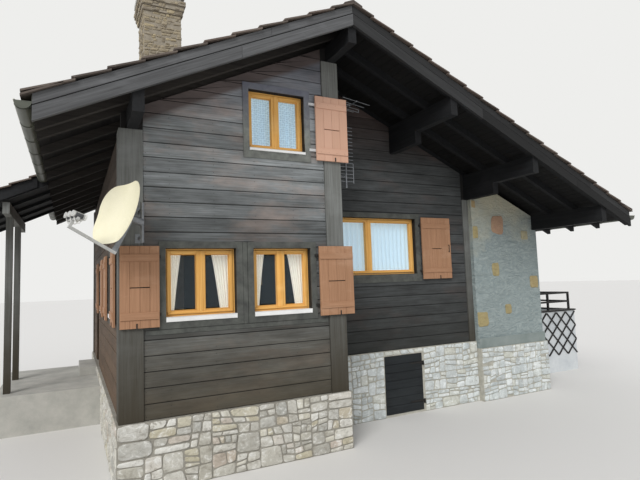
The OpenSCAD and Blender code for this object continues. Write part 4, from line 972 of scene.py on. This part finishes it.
def casement(stock, window):
    """An outer frame and two sashes with glazing beads, on the wall's own face."""
    face, x, z, w, h = window
    x1, z1 = x + w, z + h

    def member(outline, front, back, bevel, upright=False):
        direction = (face(0, 1000, 0) if upright else face(1000, 0, 0)) - face(0, 0, 0)
        board(stock, outline, face, front, bevel, along=direction.normalized(), foot=back)

    def ring(a, b, low, high, left, right, tall, lap, *depths):
        """Two uprights and the two rails that run into them by lap."""
        for p, q in ((a, a + left), (b - right, b)):
            member(rect(p, q, low, high), *depths, True)
        for p, q in ((low, low + tall), (high - tall, high)):
            member(rect(a + left - lap, b - right + lap, p, q), *depths)

    front, back = -FRAME_IN, -FRAME_IN - FRAME_T
    sash = front + SASH_OUT
    ring(x, x1, z, z1, FRAME_W, FRAME_W, FRAME_W, 0, front, back, 4)
    leaf = (w - 2 * FRAME_W) / 2
    low, high = z + FRAME_W + 2, z1 - FRAME_W - 2
    for i in (0, 1):
        a, b = x + FRAME_W + i * leaf + 1, x + FRAME_W + (i + 1) * leaf - 1
        # The stile at the window's middle is wider than the hung one
        left, right = (SASH_W, STILE_W) if i == 0 else (STILE_W, SASH_W)
        ring(a, b, low, high, left, right, SASH_W, 1, sash, back + 5, 6)
        ring(a + left, b - right, low + SASH_W, high - SASH_W, BEAD, BEAD, BEAD, BEAD,
             front - 12, back + 30, 5)
        # The drip rail at the foot of the sash
        member(rect(a + 8, b - 8, low + 6, low + 30), sash + 14, sash - 1, 6)
    # The cover strip over the meeting stiles
    middle = x + w / 2
    member(rect(middle - 22, middle + 22, low + 2, high - 2), sash + 9, sash - 1, 5, True)


frames = Stock(61)
for window in WINDOWS.values():
    casement(frames, window)
frames.piece("casement_frames", varnish_finish, "varnished_wood", replaces=["window_frames"])

# Sills inside the openings: white painted, the gable's thinner, the wide window's in dark wood
sills, dark_sill = Stock(64), Stock(65)
for key, (face, x, z, w, h) in WINDOWS.items():
    stock, deep = (dark_sill, 28) if key == "wide" else (sills, 42)
    high = 34 if key == "gable" else 58
    board(stock, rect(x + 1, x + w - 1, z - high, z - 1), face, deep, 5, foot=-2)
    board(stock, rect(x + 1, x + w - 1, z - 1, z + 5), face, deep + 1, 2, foot=-FRAME_IN + 1)
    if high < 58:
        board(dark_sill, rect(x + 1, x + w - 1, z - 59, z - high), face, 27, 2, foot=-2)
sills.piece("white_sills", sill_finish, "pale_sills", replaces=["window_sills"])
dark_sill.piece("dark_sills", casing_finish, "weathered_boards")

CURTAIN_IN = 185


def curtain(name, key, side, top_width, foot_width, pleats, cloth):
    """A hanging curtain: a pleated sheet behind the glass, drawn to its side at the foot.

    With side 0 it hangs over the whole window.
    """
    face, x, z, w, h = WINDOWS[key]
    rows, steps = 24, 12 * pleats
    top, foot = z + h - 20, z + 20
    points = []
    for r in range(rows + 1):
        t = r / rows
        width = top_width + (foot_width - top_width) * t ** 0.8
        for s in range(steps + 1):
            u = s / steps
            across = x + 30 + u * width if side < 0 else x + w - 30 - u * width
            if side == 0:
                across = x + 30 + u * (w - 60)
            fold = math.sin(u * pleats * 2 * math.pi + 1.7 * noise(Vector((u * 3, t * 1.5, 0))))
            points.append(face(across, top + (foot - top) * t, -CURTAIN_IN - fold * (9 + 5 * t)
                               - 4 * noise(Vector((u * 9, t * 3, 5)))))
    corners = (0, 1, steps + 2, steps + 1)
    mesh = mesh_of(name, points, [[r * (steps + 1) + s + c for c in corners]
                                  for r in range(rows) for s in range(steps)])
    mesh.materials.append(cloth)
    mesh.shade_smooth()
    obj = placed(name, mesh)
    thicken = obj.modifiers.new("cloth", "SOLIDIFY")
    thicken.thickness, thicken.offset = 0.0008, 0
    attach(obj, HOUSE)


rods = Stock(62)
for key in ("left", "middle", "gable", "wide"):
    face, x, z, w, h = WINDOWS[key]
    y = CURTAIN_IN if face is FRONT else SETBACK + CURTAIN_IN
    tube(rods, (x - 20, y, z + h - 25), (x + w + 20, y, z + h - 25), 7)
rods.piece("curtain_rods", pale_iron_finish, "galvanised")
for key in ("left", "middle"):
    for side, tag, top, foot in ((-1, "a", 215, 105), (1, "b", 290, 155)):
        curtain(f"curtain_{key}_{tag}", key, side, top, foot, 6, cream_cloth)
curtain("curtain_gable", "gable", 0, 0, 0, 8, net_cloth)
curtain("curtain_wide", "wide", 0, 0, 0, 22, sheer_cloth)

# Shutters
SHUTTER_OUT, SHUTTER_T, LEDGE_T, LEDGE_W, HINGE_OUT = 47, 30, 14, 95, 28
leaves, irons, pale_hinges, leaf_nails = Stock(71), Stock(72), Stock(73), []


def shutter_leaf(key, side, off, width, boards, handle=False, hinges=irons, tones=(0.0, 0.55)):
    """A folded-back leaf: upright boards under two ledges, with a slit for light."""
    face, x, z, w, h = WINDOWS[key]
    edge = x + w if side > 0 else x
    a, b = sorted((edge + side * off, edge + side * (off + width)))
    low, high = z - 110, z + h + 25
    upright = (face(0, 1000, 0) - face(0, 0, 0)).normalized()
    front = lifted(face, SHUTTER_OUT + SHUTTER_T)
    step, tall = (b - a) / boards, high - low
    slit_z, slit = (low + high) / 2 - 10, 12
    middle = boards // 2
    for i in range(boards):
        p, q = a + i * step + 1.2, a + (i + 1) * step - 1.2
        spans = [(low, high)]
        if i in (middle - 1, middle):
            spans = [(low, slit_z - slit / 2), (slit_z + slit / 2, high)]
        for s, t in spans:
            board(leaves, rect(p, q, s, t), lifted(face, SHUTTER_OUT), SHUTTER_T, 3,
                  along=upright, tone=leaves.chance.uniform(*tones))
        for share in (0.1 + 0.3 * LEDGE_W / tall, 0.9 - 0.3 * LEDGE_W / tall):
            leaf_nails.append((face, (p + q) / 2, low + tall * share,
                               SHUTTER_OUT + SHUTTER_T + LEDGE_T - 1))
    for s in (low + tall * 0.1, low + tall * 0.9 - LEDGE_W):
        board(leaves, rect(a + 6, b - 6, s, s + LEDGE_W), front, LEDGE_T, 5,
              tone=leaves.chance.uniform(*tones))
    # Hinges on the window's side, from the casing to the leaf
    casing = edge + side * 65
    p, q = (min(a, casing), max(a, casing) + 60) if side > 0 else (
        min(b, casing) - 60, max(b, casing))
    for s in (z + 15, low + tall * 0.9 - 70):
        board(hinges, rect(p, q, s + 14, s + 56), lifted(face, HINGE_OUT),
              SHUTTER_OUT - HINGE_OUT, 2)
    # The catch that holds the leaf back, at its foot
    centre = (a + b) / 2 + side * width * 0.08
    board(irons, rect(centre - 8, centre + 8, low - 4, low + 62), front, 10, 3)
    if handle:
        grip = b - 55 if side > 0 else a + 55
        for s in (slit_z - 60, slit_z + 70):
            board(irons, rect(grip - 7, grip + 7, s - 9, s + 9), front, 16, 3)
        board(irons, rect(grip - 6, grip + 6, slit_z - 64, slit_z + 74), lifted(front, 14), 8, 3)


shutter_leaf("left", -1, 86, 482, 4)
shutter_leaf("middle", 1, 122, 585, 4)
shutter_leaf("gable", 1, 170, 560, 4, hinges=pale_hinges, tones=(0.9, 1.0))
shutter_leaf("wide", 1, 110, 718, 6, handle=True)
for key in ("side_1", "side_2", "back_1", "back_2", "back_3", "back_gable"):
    for side in (-1, 1):
        shutter_leaf(key, side, 110, 505, 4)
leaves.piece("shutter_leaves", shutter_finish, "shutter_paint", replaces=["shutters"])
irons.piece("shutter_irons", iron_finish, "black_iron")
pale_hinges.piece("gable_shutter_hinges", pale_iron_finish, "galvanised")

# Cellar door, on the leaf's own body
HINGE_X, LEAF_Y, DOOR_T, DOOR_BOARDS = 5450, 956.5, 45, 7
cellar, door_nails = Stock(81), []
door_face = facing("y", LEAF_Y + DOOR_T, -1)
for i in range(DOOR_BOARDS):
    z0, z1 = (DOOR_Z0 + 6 + (DOOR_Z1 - DOOR_Z0 - 12) * n / DOOR_BOARDS for n in (i, i + 1))
    board(cellar, rect(DOOR_X0 + 6, DOOR_X1 - 6, z0 + 1.2, z1 - 1.2), door_face, DOOR_T, 7)
    door_nails += [(door_face, x, z0 * (1 - share) + z1 * share, DOOR_T - 2)
                   for x in (DOOR_X0 + 70, DOOR_X1 - 70) for share in (0.28, 0.72)]
cellar.piece("cellar_door_boards", door_finish, "dark_door", LEAF, ["cellar_door"])
straps = Stock(82)
for z in (190, 898):
    end = HINGE_X - 330
    board(straps, [(HINGE_X - 6, z + 2), (HINGE_X - 6, z + 48), (end + 70, z + 40),
                   (end + 25, z + 38), (end, z + 25), (end + 25, z + 12), (end + 70, z + 10)],
          facing("y", LEAF_Y, -1), 8, 2)
    tube(straps, (HINGE_X, LEAF_Y - 4, z), (HINGE_X, LEAF_Y - 4, z + 50), 14.3, 20)
    for x in (end + 45, end + 150, end + 250):
        tube(straps, (x, LEAF_Y - 7, z + 25), (x, LEAF_Y - 13, z + 25), 9, 10, 6)
straps.piece("cellar_door_straps", iron_finish, "black_iron", LEAF)

# Entrance door: a framed door of upright boards over a panel, in a frame 60 mm wide
entry, frame_w = Stock(83), 60
upright = Vector((0, 0, 1))
top = ENTRY_Z1 - frame_w
for a, b in ((ENTRY_Y0, ENTRY_Y0 + frame_w), (ENTRY_Y1 - frame_w, ENTRY_Y1)):
    board(entry, rect(a, b, BASE_H, ENTRY_Z1), LEFT, -20, 5, along=upright, foot=-160)
for low, high in ((top, ENTRY_Z1), (BASE_H, ENTRY_Z0)):
    board(entry, rect(ENTRY_Y0 + frame_w, ENTRY_Y1 - frame_w, low, high), LEFT, -20, 5, foot=-160)
a0, a1 = ENTRY_Y0 + frame_w + 2, ENTRY_Y1 - frame_w - 2
for i in range(8):
    p, q = a0 + (a1 - a0) * i / 8, a0 + (a1 - a0) * (i + 1) / 8
    board(entry, rect(p + 1, q - 1, ENTRY_Z0 + 4, top - 4), LEFT, -78, 5, along=upright,
          foot=-110)
for a, b in ((a0, a0 + 110), (a1 - 110, a1)):
    board(entry, rect(a, b, ENTRY_Z0 + 4, top - 4), LEFT, -60, 6, along=upright, foot=-79)
for z, high in ((ENTRY_Z0 + 4, 160), (ENTRY_Z0 + 900, 120), (top - 124, 120)):
    board(entry, rect(a0 + 110, a1 - 110, z, z + high), LEFT, -62, 6, foot=-79)
entry.piece("entrance_door_boards", entry_finish, "door_wood", replaces=["entrance_door"])
entry_irons, handle_y, handle_z = Stock(84), a1 - 60, 2110
board(entry_irons, rect(handle_y - 22, handle_y + 22, 2000, 2180), LEFT, -52, 3, foot=-61)
tube(entry_irons, (52, handle_y, handle_z), (10, handle_y, handle_z), 9)
tube(entry_irons, (14, handle_y + 6, handle_z), (14, handle_y - 110, handle_z), 8)
entry_irons.piece("entrance_door_handle", iron_finish, "black_iron")


# Small repeated pieces, grown from their places by geometry nodes
def grower(name, sizes):
    """A geometry tree with its places, its named sizes and its finish as inputs."""
    tree = bpy.data.node_groups.new(name, "GeometryNodeTree")
    sockets = tree.interface.new_socket
    sockets(name="Places", in_out="INPUT", socket_type="NodeSocketGeometry")
    for key, value in sizes.items():
        sockets(name=key, in_out="INPUT", socket_type="NodeSocketFloat").default_value = value
    sockets(name="Finish", in_out="INPUT", socket_type="NodeSocketMaterial")
    sockets(name="Pieces", in_out="OUTPUT", socket_type="NodeSocketGeometry")
    return tree, add(tree, "NodeGroupInput").outputs


def planted(tree, given, shape):
    """Sets one shape on every place, facing out of its surface, and closes the tree."""
    out = add(tree, "GeometryNodeInputNamedAttribute", "Attribute", {"Name": "out"},
              data_type="FLOAT_VECTOR")
    turn = add(tree, "FunctionNodeAlignRotationToVector", "Rotation", {"Vector": out}, axis="Z")
    each = add(tree, "GeometryNodeInstanceOnPoints", "Instances", {
        "Points": given["Places"], "Instance": shape, "Rotation": turn})
    real = add(tree, "GeometryNodeRealizeInstances", "Geometry", {"Geometry": each})
    done = add(tree, "GeometryNodeSetMaterial", "Geometry",
               {"Geometry": real, "Material": given["Finish"]})
    add(tree, "NodeGroupOutput", links={"Pieces": done})


def grown(name, tree, places, sizes, finish, slot, body=HOUSE):
    """Runs a tree over (point, outward direction) places and keeps the result as a mesh."""
    base = mesh_of(name, [point for point, _ in places])
    out = base.attributes.new("out", "FLOAT_VECTOR", "POINT")
    out.data.foreach_set("vector", [n for _, direction in places for n in direction])
    obj = placed(name, base)
    modifier = obj.modifiers.new(name, "NODES")
    modifier.node_group = tree
    values = {**sizes, "Finish": finish}
    for item in tree.interface.items_tree:
        if item.in_out == "INPUT" and item.name in values:
            modifier[item.identifier] = values[item.name]
    seen = obj.evaluated_get(bpy.context.evaluated_depsgraph_get())
    mesh = bpy.data.meshes.new_from_object(seen)
    obj.modifiers.remove(modifier)
    obj.data = mesh
    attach(obj, body)


def on_faces(spots):
    """Places on walls' faces, each with the way out of its face."""
    for face, a, b, c in spots:
        point = face(a, b, c)
        yield point, (face(a, b, c + 1000) - point).normalized()


# Nail and stud heads: flat cones, drawn 12 mm wide so that they show
nail_tree, given = grower("nail_heads", {"Head radius": 0.006, "Crown radius": 0.004,
                                         "Head height": 0.005})
head = add(nail_tree, "GeometryNodeMeshCone", "Mesh", {
    "Vertices": 8, "Radius Bottom": given["Head radius"], "Radius Top": given["Crown radius"],
    "Depth": given["Head height"]})
planted(nail_tree, given, head)
for name, spots, sizes, finish, slot, body in (
        ("wall_nails", wall_nails, {"Head radius": 0.005}, iron_finish, "black_iron", HOUSE),
        ("shutter_nails", leaf_nails, {"Head radius": 0.006, "Head height": 0.003},
         shutter_finish, "shutter_paint", HOUSE),
        ("cellar_door_nails", door_nails, {"Head radius": 0.007, "Head height": 0.006},
         iron_finish, "black_iron", LEAF)):
    grown(name, nail_tree, list(on_faces(spots)), sizes, finish, slot, body)

# Gutter hangers: flat straps bent under the gutter, one about every 640 mm
hanger_tree, given = grower("gutter_hangers", {"Strap radius": 0.0885, "Strap width": 0.024,
                                               "Strap thickness": 0.006})
bend = add(hanger_tree, "GeometryNodeCurveArc", "Curve", {
    "Resolution": 15, "Radius": given["Strap radius"], "Start Angle": math.pi + 0.4,
    "Sweep Angle": math.pi - 0.8}, mode="RADIUS")
upright = add(hanger_tree, "GeometryNodeTransform", "Geometry",
              {"Geometry": bend, "Rotation": (math.pi / 2, 0, 0)})
section = add(hanger_tree, "GeometryNodeCurvePrimitiveQuadrilateral", "Curve", {
    "Width": given["Strap width"], "Height": given["Strap thickness"]}, mode="RECTANGLE")
strap = add(hanger_tree, "GeometryNodeCurveToMesh", "Mesh",
            {"Curve": upright, "Profile Curve": section, "Fill Caps": True})
planted(hanger_tree, given, strap)

# The porch gutter's rim keeps inside the CAD box
GUTTER_R, RIM_R, RIM_OUT, PORCH_RIM_OUT, HANGERS = 85, 11, 166, 158, 640
rims, hangers = Stock(91), []
for x, out, y0, y1 in ((EAVE_L, -1, VERGE_FRONT - 30, PORCH_Y - 30),
                       (PORCH_X, -1, PORCH_Y - 30, PORCH_BACK + PORCH_LIP),
                       (EAVE_L, -1, PORCH_BACK + PORCH_LIP + 30, COVER_Y1),
                       (EAVE_R, 1, VERGE_FRONT - 30, COVER_Y1)):
    rim = verge(x) + COVER - 90
    edge = x + out * (PORCH_RIM_OUT if x == PORCH_X else RIM_OUT)
    tube(rims, (edge, y0, rim), (edge, y1, rim), RIM_R, 12)
    count = round((y1 - y0) / HANGERS)
    hangers += [(at(x + out * GUTTER_R, y0 + 40 + (y1 - y0 - 80) * i / count, rim),
                 Vector((0, 0, 1))) for i in range(count + 1)]
rims.piece("gutter_rims", rim_highlight_finish, "zinc", smooth=True)
grown("gutter_hangers", hanger_tree, hangers, {}, zinc_finish, "zinc")

# The feed's three heads: dark bodies between pale caps, with their leads looped below
# Each head has its far end, and the way from there to the other
HEAD_LENGTH, HEAD_R, LEAD_R = 150, 32, 4.5
bodies, caps, leads = Stock(92), Stock(93), Stock(94)
for x, y, z, way in ((-632.6, -521.9, 3374.0, (0.92, 0.28, -0.29)),
                     (-592.9, -614.5, 3375.3, (0.88, 0.37, -0.29)),
                     (-554.9, -705.5, 3373.6, (0.84, 0.46, -0.29))):
    far, along = Vector((x, y, z)), Vector(way).normalized()
    for stock, start, end, more in ((bodies, 26, HEAD_LENGTH - 34, 2),
                                    (caps, HEAD_LENGTH - 16, HEAD_LENGTH + 6, 5),
                                    (caps, 4, 14, 3)):
        tube(stock, far + along * start, far + along * end, HEAD_R + more, 20)
    loop = [far + along * (60 + 42 * math.cos(t)) + Vector((0, 0, -HEAD_R - 62 * math.sin(t)))
            for t in (math.pi * i / 10 for i in range(11))]
    for a, b in zip(loop, loop[1:]):
        tube(leads, a, b, LEAD_R, 8)
for stock, name, finish in ((bodies, "feed_bodies", feed_body_finish),
                            (caps, "feed_caps", feed_cap_finish),
                            (leads, "feed_leads", feed_cap_finish)):
    stock.piece(name, finish, "dish_grey")

# CAD nodes that keep their own shape
for finish, names in (
        (concrete_finish, "cellar_floor chimney_cover porch_floor"),
        (joint_shade_mortar, "stone_base_front_left stone_base_left"),
        (mortar_finish, "stone_base_front_mid stone_base_front_right cellar_door_surround "
                        "stone_base_right stone_base_back"),
        (floor_finish, "ground_floor upper_floor"),
        (joint_finish, "timber_wall_front_left timber_wall_return timber_wall_front_right "
                       "timber_wall_left timber_wall_back"),
        (render_finish, "rendered_wall_front rendered_wall_right"),
        (post_finish, "corner_posts porch_posts"),
        (rafter_finish, "rafters_left"),
        (beam_finish, "purlins purlin_corbels rafters_right roof_boarding_left "
                      "roof_boarding_right porch_roof_frame"),
        (tile_finish, "ridge_caps"),
        (zinc_finish, "gutters downpipes"),
        (chimney_mortar, "chimney_stack"),
        (glass_finish, "window_glass"),
        (casing_finish, "window_casings"),
        (iron_finish, "cellar_door_pintles terrace_coping terrace_trellis terrace_railing"),
        (white_shaded_finish, "terrace_masonry"),
        (dish_finish, "dish_reflector"),
        (feed_finish, "dish_feed"),
        (galvanised_finish, "dish_bracket wall_aerial")):
    for name in names.split():
        cad[name].data.materials.clear()
        cad[name].data.materials.append(finish)


# Floor, backdrop and light
def studio():
    """A pale floor, a pale backdrop for camera, glossy and transmitted rays, and one sun."""
    scene = bpy.context.scene
    scene.view_settings.view_transform = "Standard"
    corners = [(-120, -120, 0), (120, -120, 0), (120, 120, 0), (-120, 120, 0)]
    floor = placed("floor", mesh_of("floor", corners, [(0, 1, 2, 3)]))
    floor.data.materials.append(finish_of("pale_floor", 0.9, Base_Color=linear("#dcdad6"))[0])
    floor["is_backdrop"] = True
    scene.world = bpy.data.worlds.new("studio")
    scene.world.use_nodes = True
    tree = scene.world.node_tree
    tree.nodes.clear()
    path = add(tree, "ShaderNodeLightPath").outputs
    seen = path["Is Camera Ray"]
    for ray in ("Is Glossy Ray", "Is Transmission Ray"):
        seen = add(tree, "ShaderNodeMath", "Value", {0: seen, 1: path[ray]},
                   operation="MAXIMUM")
    light, backdrop = (
        add(tree, "ShaderNodeBackground", "Background", {"Color": linear(code), "Strength": level})
        for code, level in (("#f2f4f8", 0.75), ("#eeeeec", 1.0)))
    both = add(tree, "ShaderNodeMixShader", "Shader", {0: seen, 1: light, 2: backdrop})
    add(tree, "ShaderNodeOutputWorld", links={"Surface": both})
    sun = placed("key_light", bpy.data.lights.new("key_light", "SUN"))
    sun.data.energy, sun.data.angle = 2.0, math.radians(28)
    sun.rotation_euler = Vector((0.75, 0.75, -0.8)).to_track_quat("-Z", "Y").to_euler()


studio()

low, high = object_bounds()
{"cad": [list(cad_low), list(cad_high)], "visual": [list(low), list(high)]}
